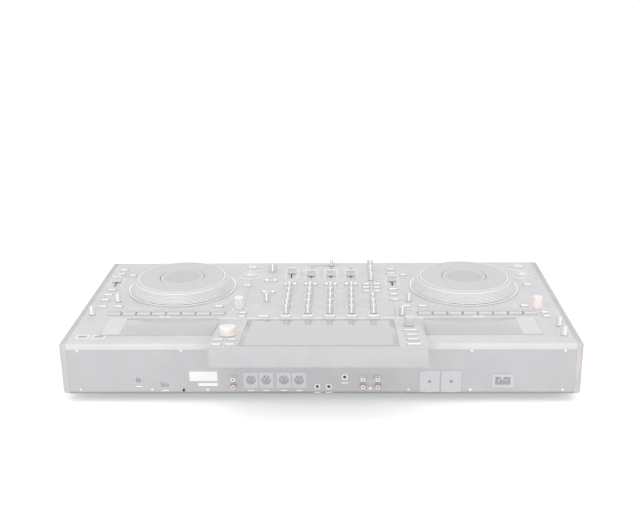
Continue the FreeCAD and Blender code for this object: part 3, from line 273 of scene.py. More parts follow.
# Nylon of the socket bodies. Its glow is painted light that lifts the shade inside the socket
# wells.
SOCKET_NYLON_PAINTED_LIGHT = Finish("socket_nylon", "#AEAEB1", "#AAAAAD", 0.5, grain_mm=0.8, relief_mm=0.02,
                      glow=0.45)
RED_NYLON = Finish("red_nylon", "#E5B4AC", "#DDA69D", 0.4, grain_mm=0.8, relief_mm=0.02)
WHITE_NYLON = Finish("white_nylon", "#F1F1F1", "#E8E8E9", 0.4, grain_mm=0.8, relief_mm=0.02)
LABEL_FILM = Finish("blank_label_film", "#F4F4F4", "#EEEEEF", 0.35, grain_mm=1.0, relief_mm=0.01)
FOOT_RUBBER = Finish("foot_rubber", "#77777A", "#6B6B6E", 0.75, grain_mm=1.5, relief_mm=0.06)
BOARD_MASK = Finish("solder_mask", "#5C7A68", "#4E6C5A", 0.4, grain_mm=2.0, relief_mm=0.02)


# Mesh making

def new_object(name: str, mesh: bpy.types.Mesh) -> bpy.types.Object:
    """Put a mesh in the scene as an object at the origin.

    Args:
        name: The object's name.
        mesh: Its mesh.

    Returns:
        The object.
    """
    thing = bpy.data.objects.new(name, mesh)
    bpy.context.scene.collection.objects.link(thing)
    return thing


def as_mesh(shape: bmesh.types.BMesh, name: str) -> bpy.types.Mesh:
    """Turn a working shape into a mesh and free it.

    Args:
        shape: The working shape.
        name: The mesh's name.

    Returns:
        The mesh, shaded smooth except across sharp edges.
    """
    bmesh.ops.remove_doubles(shape, verts=shape.verts, dist=MERGE)
    bmesh.ops.recalc_face_normals(shape, faces=shape.faces)
    mesh = bpy.data.meshes.new(name)
    shape.to_mesh(mesh)
    shape.free()
    soften_shading(mesh)
    return mesh


def soften_shading(mesh: bpy.types.Mesh, degrees: float = 32.0) -> None:
    """Shade a mesh smooth, but keep its sharp edges."""
    mesh.polygons.foreach_set("use_smooth", [True] * len(mesh.polygons))
    mesh.set_sharp_from_angle(angle=math.radians(degrees))


def baked(thing: bpy.types.Object) -> bpy.types.Mesh:
    """Turn an object with live modifiers into one plain mesh.

    Args:
        thing: The object, which is removed.

    Returns:
        Its evaluated mesh.
    """
    graph = bpy.context.evaluated_depsgraph_get()
    mesh = bpy.data.meshes.new_from_object(thing.evaluated_get(graph))
    bpy.data.objects.remove(thing)
    return mesh


def keep(name: str, mesh: bpy.types.Mesh, finishes: Iterable[Finish | bpy.types.Material],
         body: str = CHASSIS, stands_for: Sequence[str] = ()) -> None:
    """Keep a mesh as a finished piece of the object.

    Args:
        name: The piece's name.
        mesh: Its mesh, in the frame's own place.
        finishes: Its finishes, in the order of the faces' material numbers.
        body: The moving body it rides on.
        stands_for: The frame's nodes that it replaces.
    """
    # Clearing an empty list would still reset the faces' material numbers.
    if mesh.materials:
        mesh.materials.clear()
    for finish in finishes:
        mesh.materials.append(finish.material() if isinstance(finish, Finish) else finish)
    piece = new_object(name, mesh)
    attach(piece, body)
    if stands_for:
        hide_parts(*stands_for)
    LOG.info("%s rides on %s with %d faces", name, body, len(mesh.polygons))


def dress(node: str, finish: Finish) -> None:
    """Give one of the frame's nodes its finish.

    Args:
        node: The node's name.
        finish: The finish for all its faces.
    """
    materials = NODES[node].data.materials
    materials.clear()
    materials.append(finish.material())
    LOG.info("%s dressed in %s", node, finish.name)


def corners(node: str) -> tuple[Vector, Vector]:
    """Lowest and highest corner of a node at rest."""
    low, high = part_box(node)
    return Vector(low), Vector(high)


def deck_top() -> float:
    """Height of the deck's upper face."""
    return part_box("upper_case")[1][2]


def rear_face() -> float:
    """Place of the rear wall's outer face along Y."""
    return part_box("rear_panel")[1][1]


def merged_copy(node: str) -> bmesh.types.BMesh:
    """Copy a node's mesh with its doubled points merged.

    Args:
        node: The node's name.

    Returns:
        The working shape.
    """
    shape = bmesh.new()
    shape.from_mesh(NODES[node].data)
    bmesh.ops.remove_doubles(shape, verts=shape.verts, dist=NODE_MERGE)
    return shape


@dataclass(frozen=True)
class Island:
    """The box of one separate solid of a node."""

    low: Vector
    high: Vector

    @property
    def middle(self) -> Vector:
        """The middle of the box."""
        return (self.low + self.high) / 2

    @property
    def size(self) -> Vector:
        """The box's extents."""
        return self.high - self.low


def islands(node: str) -> list[Island]:
    """Find the separate solids of a node.

    Args:
        node: The node's name.

    Returns:
        Their boxes, ordered by place.
    """
    shape = merged_copy(node)
    left = set(shape.verts)
    found = []
    while left:
        start = left.pop()
        group = [start]
        queue = [start]
        while queue:
            for edge in queue.pop().link_edges:
                for vertex in edge.verts:
                    if vertex in left:
                        left.remove(vertex)
                        group.append(vertex)
                        queue.append(vertex)
        low = Vector([min(v.co[axis] for v in group) for axis in range(3)])
        high = Vector([max(v.co[axis] for v in group) for axis in range(3)])
        found.append(Island(low, high))
    shape.free()
    return sorted(found, key=lambda island: tuple(round(place, 4) for place in island.middle))


def bevelled(node: str, width: float, segments: int = 2) -> bpy.types.Mesh:
    """Copy a node and round its edges.

    Args:
        node: The node's name.
        width: The bevel's width in metres.
        segments: Steps across each bevel.

    Returns:
        The rounded mesh.
    """
    shape = merged_copy(node)
    bmesh.ops.dissolve_limit(shape, angle_limit=math.radians(1), verts=shape.verts,
                             edges=shape.edges)
    mesh = bpy.data.meshes.new(f"{node}_copy")
    shape.to_mesh(mesh)
    shape.free()
    thing = new_object(f"{node}_copy", mesh)
    bevel = thing.modifiers.new("bevel", "BEVEL")
    bevel.width = width
    bevel.segments = segments
    bevel.limit_method = "ANGLE"
    bevel.angle_limit = math.radians(30)
    bevel.use_clamp_overlap = True
    result = baked(thing)
    soften_shading(result)
    return result


def lathe(profile: Sequence[tuple[float, float]], steps: int, flutes: int = 0, depth: float = 0.0,
          fluted: Sequence[int] = ()) -> bmesh.types.BMesh:
    """Revolve a profile about Z, with flutes on chosen rows.

    Args:
        profile: Radius and height of each row, in metres, from bottom to top.
        steps: Steps round the turn.
        flutes: Number of flutes.
        depth: Flute depth in metres.
        fluted: Rows of the profile that carry the flutes.

    Returns:
        The working shape.
    """
    shape = bmesh.new()
    rows = []
    for number, (radius, height) in enumerate(profile):
        if radius < MERGE:
            rows.append([shape.verts.new((0, 0, height))] * steps)
            continue
        row = []
        for step in range(steps):
            angle = 2 * math.pi * step / steps
            cutback = depth * (0.5 + 0.5 * math.cos(flutes * angle)) if number in fluted else 0.0
            reach = radius - cutback
            row.append(shape.verts.new((reach * math.cos(angle), reach * math.sin(angle), height)))
        rows.append(row)
    for lower, upper in zip(rows, rows[1:]):
        for step in range(steps):
            after = (step + 1) % steps
            # A row on the axis is one point, so faces that meet it lose their doubles.
            loop = dict.fromkeys((lower[step], lower[after], upper[after], upper[step]))
            if len(loop) > 2:
                shape.faces.new(list(loop))
    return shape


def add_block(shape: bmesh.types.BMesh, low: Sequence[float], high: Sequence[float],
              bevel: float = 0.0) -> None:
    """Add a block to a working shape, with softened edges where asked.

    Args:
        shape: The working shape.
        low: The block's lowest corner.
        high: The block's highest corner.
        bevel: The width of its edge bevels.
    """
    middle = (Vector(low) + Vector(high)) / 2
    size = Vector(high) - Vector(low)
    matrix = Matrix.Translation(middle) @ Matrix.Diagonal((*size, 1.0))
    made = bmesh.ops.create_cube(shape, size=1.0, matrix=matrix)["verts"]
    if bevel:
        edges = dict.fromkeys(edge for vertex in made for edge in vertex.link_edges)
        bmesh.ops.bevel(shape, geom=list(edges), offset=bevel, segments=2, affect="EDGES",
                        profile=0.5)


def joined(shapes: Iterable[tuple[bmesh.types.BMesh, Matrix, int]], name: str) -> bpy.types.Mesh:
    """Join working shapes, each moved to its place and given a material.

    Args:
        shapes: Each shape with its placement and its material's place in the list.
        name: The mesh's name.

    Returns:
        One mesh.
    """
    whole = bmesh.new()
    for shape, matrix, material in shapes:
        bmesh.ops.remove_doubles(shape, verts=shape.verts, dist=MERGE)
        bmesh.ops.recalc_face_normals(shape, faces=shape.faces)
        part = bpy.data.meshes.new("part")
        shape.to_mesh(part)
        shape.free()
        part.transform(matrix)
        start = len(whole.faces)
        whole.from_mesh(part)
        bpy.data.meshes.remove(part)
        whole.faces.ensure_lookup_table()
        for face in whole.faces[start:]:
            face.material_index = material
    mesh = bpy.data.meshes.new(name)
    whole.to_mesh(mesh)
    whole.free()
    soften_shading(mesh)
    return mesh


def joint_place(body: str) -> Matrix:
    """Find the placement of a turning body's axis.

    Args:
        body: The body's name.

    Returns:
        The joint's position, with Z turned along its axis.
    """
    joint = JOINTS[body]
    turn = UP.rotation_difference(Vector(joint["axis"])).to_matrix().to_4x4()
    return Matrix.Translation(joint["pos_m"]) @ turn


# Repeats made with Geometry Nodes

def new_tree(name: str, inputs: dict[str, str]
             ) -> tuple[bpy.types.NodeTree, bpy.types.Node, dict[str, str]]:
    """Start a Geometry Nodes tree with named inputs.

    Args:
        name: The tree's name.
        inputs: The kind of socket of each input, by its name.

    Returns:
        The tree, its input node, and the identifiers of its inputs by name.
    """
    tree = bpy.data.node_groups.new(name, "GeometryNodeTree")
    sockets = {}
    for label, kind in {"Points": "Geometry", **inputs}.items():
        socket = tree.interface.new_socket(label, in_out="INPUT", socket_type=f"NodeSocket{kind}")
        sockets[label] = socket.identifier
    tree.interface.new_socket("Geometry", in_out="OUTPUT", socket_type="NodeSocketGeometry")
    return tree, add_node(tree, "NodeGroupInput"), sockets


def end_tree(tree: bpy.types.NodeTree, copies: bpy.types.Node, finish: Finish) -> None:
    """End a tree: its instances are made real and get their finish.

    Args:
        tree: The tree.
        copies: The node that gives the instances.
        finish: Their finish.
    """
    real = add_node(tree, "GeometryNodeRealizeInstances", None, {
        "Geometry": copies.outputs["Instances"],
    })
    dressed = add_node(tree, "GeometryNodeSetMaterial", None, {
        "Geometry": real.outputs["Geometry"],
        "Material": finish.material(),
    })
    add_node(tree, "NodeGroupOutput", None, {"Geometry": dressed.outputs["Geometry"]})


def grown(carrier: bpy.types.Object, tree: bpy.types.NodeTree,
          values: dict[str, float]) -> bpy.types.Mesh:
    """Run a tree on a carrier object.

    Args:
        carrier: The object with the points, which is removed.
        tree: The tree.
        values: Value of each input, by its identifier.

    Returns:
        One plain mesh.
    """
    modifier = carrier.modifiers.new("repeat", "NODES")
    modifier.node_group = tree
    for identifier, value in values.items():
        modifier[identifier] = value
    return baked(carrier)


@dataclass(frozen=True)
class RepeatTree:
    """Copies one small shape to every point of a carrier mesh, turned to the point's direction."""

    name: str
    copy: bpy.types.Mesh
    finish: Finish

    def build(self, points: Sequence[tuple[Vector, Vector]]) -> bpy.types.Mesh:
        """Make the repeats.

        Args:
            points: Place and outward direction of each copy.

        Returns:
            One plain mesh with every copy real.
        """
        carrier = bpy.data.meshes.new(f"{self.name}_points")
        carrier.from_pydata([tuple(place) for place, _ in points], [], [])
        facing = carrier.attributes.new("facing", "FLOAT_VECTOR", "POINT")
        facing.data.foreach_set("vector", [value for _, outward in points for value in outward])
        copy = new_object(self.copy.name, self.copy)
        mesh = grown(new_object(carrier.name, carrier), self.tree(copy), {})
        bpy.data.objects.remove(copy)
        return mesh

    def tree(self, copy: bpy.types.Object) -> bpy.types.NodeTree:
        """Build the node tree.

        Args:
            copy: The object that is repeated.

        Returns:
            The tree.
        """
        tree, source, _ = new_tree(self.name, {})
        shape = add_node(tree, "GeometryNodeObjectInfo", None, {"Object": copy})
        facing = add_node(tree, "GeometryNodeInputNamedAttribute", {"data_type": "FLOAT_VECTOR"},
                          {"Name": "facing"})
        turn = add_node(tree, "FunctionNodeAlignRotationToVector", {"axis": "Z"},
                        {"Vector": facing.outputs["Attribute"]})
        copies = add_node(tree, "GeometryNodeInstanceOnPoints", None, {
            "Points": source.outputs["Points"],
            "Instance": shape.outputs["Geometry"],
            "Rotation": turn.outputs["Rotation"],
        })
        end_tree(tree, copies, self.finish)
        return tree


@dataclass(frozen=True)
class TickTree:
    """Prints an arc of ticks round every point of a carrier mesh."""

    name: str
    finish: Finish
    thickness: float = 0.12 * MM

    def build(self, centres: Sequence[Vector], radius: float, count: int, sweep: float,
              tick: tuple[float, float]) -> bpy.types.Mesh:
        """Make the arcs.

        Args:
            centres: The middle of each arc.
            radius: The arcs' radius.
            count: Ticks in each arc.
            sweep: Angle of the arc in radians, centred on +Y.
            tick: Length and width of one tick.

        Returns:
            One plain mesh.
        """
        carrier = bpy.data.meshes.new(f"{self.name}_centres")
        carrier.from_pydata([tuple(centre) for centre in centres], [], [])
        tree, sockets = self.tree()
        values = {"Radius": radius, "Count": count, "Start": math.pi / 2 - sweep / 2,
                  "Sweep": sweep, "Length": tick[0], "Width": tick[1]}
        return grown(new_object(carrier.name, carrier), tree,
                     {sockets[name]: value for name, value in values.items()})

    def tree(self) -> tuple[bpy.types.NodeTree, dict[str, str]]:
        """Build the node tree.

        Returns:
            The tree and the identifiers of its inputs, by name.
        """
        tree, source, sockets = new_tree(self.name, {
            "Radius": "Float", "Start": "Float", "Sweep": "Float", "Length": "Float",
            "Width": "Float", "Count": "Int",
        })
        arc = add_node(tree, "GeometryNodeCurveArc", {"mode": "RADIUS"}, {
            "Resolution": source.outputs["Count"],
            "Radius": source.outputs["Radius"],
            "Start Angle": source.outputs["Start"],
            "Sweep Angle": source.outputs["Sweep"],
        })
        dots = add_node(tree, "GeometryNodeCurveToPoints", {"mode": "EVALUATED"},
                        {"Curve": arc.outputs["Curve"]})
        place = add_node(tree, "GeometryNodeInputPosition")
        turn = add_node(tree, "FunctionNodeAlignRotationToVector", {"axis": "X"},
                        {"Vector": place.outputs["Position"]})
        size = add_node(tree, "ShaderNodeCombineXYZ", None, {
            "X": source.outputs["Length"], "Y": source.outputs["Width"], "Z": self.thickness,
        })
        tick = add_node(tree, "GeometryNodeMeshCube", None, {"Size": size.outputs["Vector"]})
        ring = add_node(tree, "GeometryNodeInstanceOnPoints", None, {
            "Points": dots.outputs["Points"],
            "Instance": tick.outputs["Mesh"],
            "Rotation": turn.outputs["Rotation"],
        })
        arcs = add_node(tree, "GeometryNodeInstanceOnPoints", None, {
            "Points": source.outputs["Points"],
            "Instance": ring.outputs["Instances"],
        })
        end_tree(tree, arcs, self.finish)
        return tree, sockets


# Sub-assemblies

@dataclass
class Casework:
    """Deck, cheeks, walls, bottom, feet and inlays."""

    deck_edge: float = 0.6 * MM
    cheek_edge: float = 0.9 * MM
    inlay_edge: float = 0.4 * MM

    def build(self) -> None:
        """Dress the casework, and round the edges of its mouldings."""
        dress("bottom_plate", BOTTOM_COAT)
        # The rear wall's darker grey is painted shade.
        dress("rear_panel", WALL_COAT_SHADED)
        dress("front_panel", FRONT_ABS)
        dress("feet", FOOT_RUBBER)
        dress("control_board", BOARD_MASK)
        dress("jog_bases", JOG_BASE)
        for name, node, edge, finish in (
            ("deck_moulding", "upper_case", self.deck_edge, DECK_COAT),
            ("cheek_mouldings", "side_cheeks", self.cheek_edge, CHEEK_ABS),
            ("inlay_strips", "deck_inlays", self.inlay_edge, INLAY_GLOSS),
        ):
            keep(name, bevelled(node, edge), [finish], stands_for=[node])


@dataclass
class Screen:
    """Tilted screen housing and its glass."""

    housing_edge: float = 0.8 * MM
    glass_edge: float = 0.3 * MM
    border: float = 9.0 * MM
    film: float = 0.08 * MM
    lit_share: float = 0.95

    def build(self) -> None:
        """Make the housing with painted light on its top faces and painted shade on the others,
        the glass and the visible panel under it.
        """
        housing = bevelled("display_housing", self.housing_edge)
        # Upward faces get the painted light, all other faces the painted shade.
        for face in housing.polygons:
            face.material_index = int(face.normal.dot(SCREEN_TILT) > self.lit_share)
        keep("screen_housing", housing, [HOUSING_SHADED_SIDES, HOUSING_LIT_TOP],
             stands_for=["display_housing"])
        keep("screen_cover_glass", bevelled("display_glass", self.glass_edge), [COVER_GLASS],
             stands_for=["display_glass"])
        keep("screen_picture_area", self.picture_area(), [PANEL_GLASS])

    def picture_area(self) -> bpy.types.Mesh:
        """Make the darker field inside the glass's printed border.

        Returns:
            A thin sheet that lies on the tilted glass.
        """
        low, high = corners("display_glass")
        along = Vector((0, SCREEN_TILT.z, -SCREEN_TILT.y))
        top_rear = Vector((0, high.y, high.z))
        length = (high.y - low.y) / along.y - 2 * self.border
        start = top_rear - along * (length + self.border) + SCREEN_TILT * self.film
        half = (high.x - low.x) / 2 - self.border
        shape = bmesh.new()
        outline = []
        for side, reach in ((-1, 0.0), (1, 0.0), (1, length), (-1, length)):
            place = start + along * reach
            outline.append(shape.verts.new((side * half, place.y, place.z)))
        shape.faces.new(outline)
        bmesh.ops.solidify(shape, geom=shape.faces[:], thickness=self.film * 0.6)
        return as_mesh(shape, "screen_picture_area")


@dataclass
class JogWheel:
    """One jog wheel: ribbed side with painted highlights on its crests, turned top with a painted
    highlight line at its rim, grip studs, a painted highlight ring round its foot, and centre
    display.
    """

    deck: str
    ribs: int = 7
    rib_depth: float = 0.8 * MM
    foot_lift: float = 1.4 * MM
    crown: float = 6.0 * MM
    shoulder: float = 96 * MM
    plate_rim: float = 91.6 * MM
    rim_highlight_radius: float = 88.6 * MM
    highlight_proud: float = 0.15 * MM
    studs: int = 90
    stud_rows: tuple[int, ...] = (1, 3, 5)
    stud_share: float = 0.42
    stud_slope: float = 0.65
    stud_steps: int = 8
    display_rim: float = 4.6 * MM
    steps: int = 160

    def __post_init__(self) -> None:
        """Read the wheel's place and size from the frame."""
        self.body = f"jog_wheel_{self.deck}"
        low, high = corners(self.body)
        self.centre = Vector(((low.x + high.x) / 2, (low.y + high.y) / 2, 0))
        self.place = Matrix.Translation(self.centre)
        self.outer = (high.x - low.x) / 2
        self.low = low.z
        self.high = high.z

    def build(self) -> None:
        """Make the wheel with its painted highlights, its studs, the painted highlight ring round
        its foot, and its display.
        """
        shapes = [(self.turned(self.side_profile()), self.place, 0),
                  (self.turned(self.top_profile()), self.place, 1)]
        shapes += [(ridge, self.place, 2) for ridge in self.ridge_highlights()]
        # The white line round the top plate is a painted highlight.
        shapes.append((self.rim_highlight(), self.place, 3))
        mesh = joined(shapes, self.body)
        finishes = [JOG_SIDE, JOG_TOP.material(self.centre), JOG_RIDGE_HIGHLIGHT, INK_AND_HIGHLIGHT]
        keep(f"{self.body}_shell", mesh, finishes, self.body, [self.body])
        self.build_studs()
        self.build_foot_highlight()
        self.build_display()

    def turned(self, profile: Sequence[tuple[float, float]]) -> bmesh.types.BMesh:
        """Revolve one of the wheel's profiles."""
        return lathe(profile, self.steps)

    def on_cone(self, share: float, proud: float = 0.0) -> tuple[float, float]:
        """Find a point of the sloping side.

        Args:
            share: How far up the side it is, from nought to one.
            proud: How far out of the side and above it.

        Returns:
            Radius and height.
        """
        foot = self.low + self.foot_lift
        rise = self.high - self.low - self.crown
        run = self.outer - self.shoulder
        return self.outer - run * share + proud, foot + rise * share + proud

    def side_profile(self) -> list[tuple[float, float]]:
        """Draw the half section of the ribbed side, from its foot to the top edge.

        Returns:
            Radius and height of each row.
        """
        low, high = self.low, self.high
        profile = [(self.outer - 5 * MM, low + 1.1 * MM), (self.outer - 0.8 * MM, low + 1.0 * MM),
                   (self.outer, low + self.foot_lift)]
        for rib in range(self.ribs):
            crest = ((0.1, 0.0), (0.5, 0.0))
            groove = ((0.58, self.rib_depth), (0.95, self.rib_depth))
            for part, inset in crest + groove:
                radius, height = self.on_cone((rib + part) / self.ribs)
                profile.append((radius - inset, height))
        profile.append(self.on_cone(1.0))
        profile += [(94.6 * MM, high - 3.0 * MM), (94.2 * MM, high - 3.2 * MM),
                    (92.4 * MM, high - 1.0 * MM), (self.plate_rim, high - 0.3 * MM)]
        return profile

    def ridge_highlights(self) -> list[bmesh.types.BMesh]:
        """Make the painted highlight on the crest of each rib, and one on the shoulder above them.

        Returns:
            One shape for each crest.
        """
        bands = []
        for rib in range(self.ribs):
            start, end = ((rib + part) / self.ribs for part in (0.12, 0.44))
            bands.append(self.turned([
                self.on_cone(start), self.on_cone(start, self.highlight_proud),
                self.on_cone(end, self.highlight_proud), self.on_cone(end),
            ]))
        high = self.high
        bands.append(self.turned([
            (95.6 * MM, high - 4.4 * MM), (95.7 * MM, high - 4.2 * MM),
            (94.8 * MM, high - 3.1 * MM), (94.6 * MM, high - 3.2 * MM),
        ]))
        return bands

    def rim_highlight(self) -> bmesh.types.BMesh:
        """Make the thin white line round the top plate: a painted highlight of its rim.

        Returns:
            The working shape.
        """
        foot, top = self.high - 0.2 * MM, self.high + 0.05 * MM
        return self.turned([
            (self.rim_highlight_radius + 0.5 * MM, foot), (self.rim_highlight_radius + 0.4 * MM, top),
            (self.rim_highlight_radius - 0.4 * MM, top), (self.rim_highlight_radius - 0.5 * MM, foot),
        ])

    def top_profile(self) -> list[tuple[float, float]]:
        """Draw the half section of the top plate, from its rim groove to the centre opening.

        Returns:
            Radius and height of each row.
        """
        high = self.high
        return [
            (self.plate_rim, high - 0.3 * MM),
            (91.0 * MM, high),
            (87.2 * MM, high),
            (86.8 * MM, high - 0.7 * MM),
            (85.8 * MM, high - 0.7 * MM),
            (85.4 * MM, high),
            (52.0 * MM, high),
            (51.7 * MM, high - 0.3 * MM),
            (51.0 * MM, high - 0.3 * MM),
            (50.7 * MM, high),
            (46.6 * MM, high),
            (45.7 * MM, high - 0.8 * MM),
            (45.7 * MM, high - 14 * MM),
        ]

    def build_studs(self) -> None:
        """Set small grip studs in rows between the ribs, every second row half a step round."""
        points = []
        slope = Vector((1.0, 0.0, self.stud_slope)).normalized()
        for row in self.stud_rows:
            radius, height = self.on_cone((row + self.stud_share) / self.ribs)
            for stud in range(self.studs):
                angle = 2 * math.pi * (stud + 0.5 * (row % 4 == 3)) / self.studs
                spin = Matrix.Rotation(angle, 3, "Z")
                points.append((self.centre + spin @ Vector((radius, 0, height)), spin @ slope))
        stud_shape = lathe([(1.1 * MM, -0.1 * MM), (0.9 * MM, 0.3 * MM), (0.0, 0.45 * MM)],
                           self.stud_steps)
        stud_mesh = as_mesh(stud_shape, "stud")
        mesh = RepeatTree(f"studs_{self.deck}", stud_mesh, JOG_SIDE).build(points)
        keep(f"jog_studs_{self.deck}", mesh, [JOG_SIDE], self.body)

    def build_foot_highlight(self) -> None:
        """Lay a thin white ring round the wheel's foot: a painted highlight of the wheel's outer
        edge.
        """
        foot, top = self.low - 0.02 * MM, self.low + 0.35 * MM
        ring = self.turned([
            (self.outer + 1.3 * MM, foot), (self.outer + 1.4 * MM, top),
            (self.outer + 2.6 * MM, top), (self.outer + 2.7 * MM, foot),
        ])
        mesh = joined([(ring, self.place, 0)], "ring")
        keep(f"jog_light_ring_{self.deck}", mesh, [INK_AND_HIGHLIGHT])

    def build_display(self) -> None:
        """Make the round centre display with its rim and a fine inner ring."""
        side = SIDES[self.deck]
        island = [item for item in islands("jog_displays") if item.middle.x * side > 0][0]
        low, high = island.low.z, island.high.z
        edge = island.size.x / 2
        field_edge = edge - self.display_rim
        glass = self.turned([(field_edge, high - 0.2 * MM), (0.0, high - 0.2 * MM)])
        rim = self.turned([
            (edge, low), (edge, high - 0.6 * MM), (edge - 0.6 * MM, high),
            (field_edge + 0.4 * MM, high), (field_edge, high - 0.3 * MM),
        ])
        ring = self.turned([
            (field_edge - 3.0 * MM, high - 0.2 * MM), (field_edge - 3.1 * MM, high - 0.1 * MM),
            (field_edge - 3.6 * MM, high - 0.1 * MM), (field_edge - 3.7 * MM, high - 0.2 * MM),
        ])
        shapes = [(glass, self.place, 0), (rim, self.place, 1), (ring, self.place, 1)]
        mesh = joined(shapes, "display")
        keep(f"jog_display_{self.deck}", mesh, [PANEL_GLASS, KEY_GREY],
             stands_for=["jog_displays"] if self.deck == DECK_NAMES[0] else ())


class KnobStyle(Enum):
    """The kinds of rotary control."""

    CHANNEL = "channel"
    ENCODER = "encoder"


@dataclass
class Knob:
    """A rotary control with a fluted grip, and a white pointer or a painted highlight ring round
    its top.
    """

    radius: float
    height: float
    style: KnobStyle = KnobStyle.CHANNEL
    flute_depth: float = 0.55 * MM
    pointer_half: float = 0.85 * MM
    skin: float = 0.05 * MM
    steps: int = 72

    def shapes(self, place: Matrix) -> list[tuple[bmesh.types.BMesh, Matrix, int]]:
        """Make the knob's parts in place.

        Args:
            place: The placement of its axis, with its origin on the panel.

        Returns:
            Shapes, placements and material numbers: 0 the grip, 1 the pointer or the painted
                highlight ring.
        """
        mark = self.pointer() if self.style is KnobStyle.CHANNEL else self.top_highlight_ring()
        return [(self.grip(), place, 0), (mark, place, 1)]

    def grip(self) -> bmesh.types.BMesh:
        """Make the fluted grip with a skirt and a softly dished top.

        Returns:
            The working shape, standing on the panel at the origin.
        """
        radius, top = self.radius, self.height
        flutes = 14 if self.style is KnobStyle.CHANNEL else 24
        profile = [
            (radius * 0.4, 0.8 * MM),
            (radius, 0.8 * MM),
            (radius, 2.2 * MM),
            (radius - 0.5 * MM, 2.9 * MM),
            (radius - 0.6 * MM, 3.4 * MM),
            (radius - 0.9 * MM, top - 1.6 * MM),
            (radius - 1.3 * MM, top - 0.5 * MM),
            (radius - 2.1 * MM, top),
            (radius * 0.45, top - 0.25 * MM),
            (0.0, top - 0.3 * MM),
        ]
        return lathe(profile, self.steps, flutes, self.flute_depth, (4, 5))

    def top_highlight_ring(self) -> bmesh.types.BMesh:
        """Make the painted highlight ring round an encoder's top.

        Returns:
            The working shape.
        """
        edge = self.radius - 2.0 * MM
        foot, top = self.height - 0.2 * MM, self.height + self.skin
        return lathe([
            (edge + 0.3 * MM, foot), (edge + 0.2 * MM, top),
            (edge - 0.6 * MM, top), (edge - 0.8 * MM, foot),
        ], self.steps)

    def pointer(self) -> bmesh.types.BMesh:
        """Make the white line across the top and down the far side of the grip.

        Returns:
            The working shape.
        """
        shape = bmesh.new()
        half, radius, top = self.pointer_half, self.radius, self.height
        add_block(shape, (-half, radius * 0.12, top - 0.9 * MM),
                  (half, radius - 1.1 * MM, top + self.skin))
        add_block(shape, (-half, radius - 2.2 * MM, 2.9 * MM),
                  (half, radius - 0.55 * MM, top - 0.5 * MM))
        return shape


@dataclass
class Knobs:
    """Every rotary control of the deck and the screen."""

    lit: tuple[str, ...] = ("browse_knob", "loop_knob_left", "loop_knob_right")
    encoders: tuple[str, ...] = ("browse_knob", "loop_knob_left", "loop_knob_right", "view_knob")
    top_margin: float = 0.3 * MM
    tick_radius: float = 9.8 * MM
    tick_count: int = 11
    tick_sweep: float = math.radians(300)
    tick_size: tuple[float, float] = (2.4 * MM, 1.1 * MM)

    def build(self) -> None:
        """Make each knob on its own body, the fixed group, and the printed ticks round them."""
        deck = deck_top()
        ticked = []
        for node in sorted(NODES):
            if not node.endswith("_knob") and not node.startswith("loop_knob"):
                continue
            place = joint_place(node)
            encoder = node in self.encoders
            style = KnobStyle.ENCODER if encoder else KnobStyle.CHANNEL
            knob = Knob(*self.size(node, place), style)
            mesh = joined(knob.shapes(place), node)
            finish = LIT_COPPER if node in self.lit else KNOB_SOFT
            keep(f"{node}_grip", mesh, [finish, INK_AND_HIGHLIGHT], node, [node])
            if not encoder:
                ticked.append(Vector((place.translation.x, place.translation.y, deck)))
        shapes = []
        for island in islands("side_knobs"):
            foot = Vector((island.middle.x, island.middle.y, deck))
            knob = Knob(island.size.x / 2, island.high.z - deck)
            shapes.extend(knob.shapes(Matrix.Translation(foot)))
            ticked.append(foot)
        keep("side_knob_grips", joined(shapes, "side_knobs"), [KNOB_SOFT, INK_AND_HIGHLIGHT],
             stands_for=["side_knobs"])
        ticks = TickTree("knob_ticks", INK_AND_HIGHLIGHT).build(
            ticked, self.tick_radius, self.tick_count, self.tick_sweep, self.tick_size)
        keep("knob_tick_print", ticks, [INK_AND_HIGHLIGHT])

    def size(self, node: str, place: Matrix) -> tuple[float, float]:
        """Read a knob's size from the frame.

        Args:
            node: The knob's node.
            place: The placement of its axis.

        Returns:
            Its radius, and its height above its panel.
        """
        axis = place.to_3x3() @ UP
        height = radius = 0.0
        for vertex in NODES[node].data.vertices:
            offset = vertex.co - place.translation
            along = offset.dot(axis)
            height = max(height, along)
            radius = max(radius, (offset - axis * along).length)
        return radius, height - self.top_margin


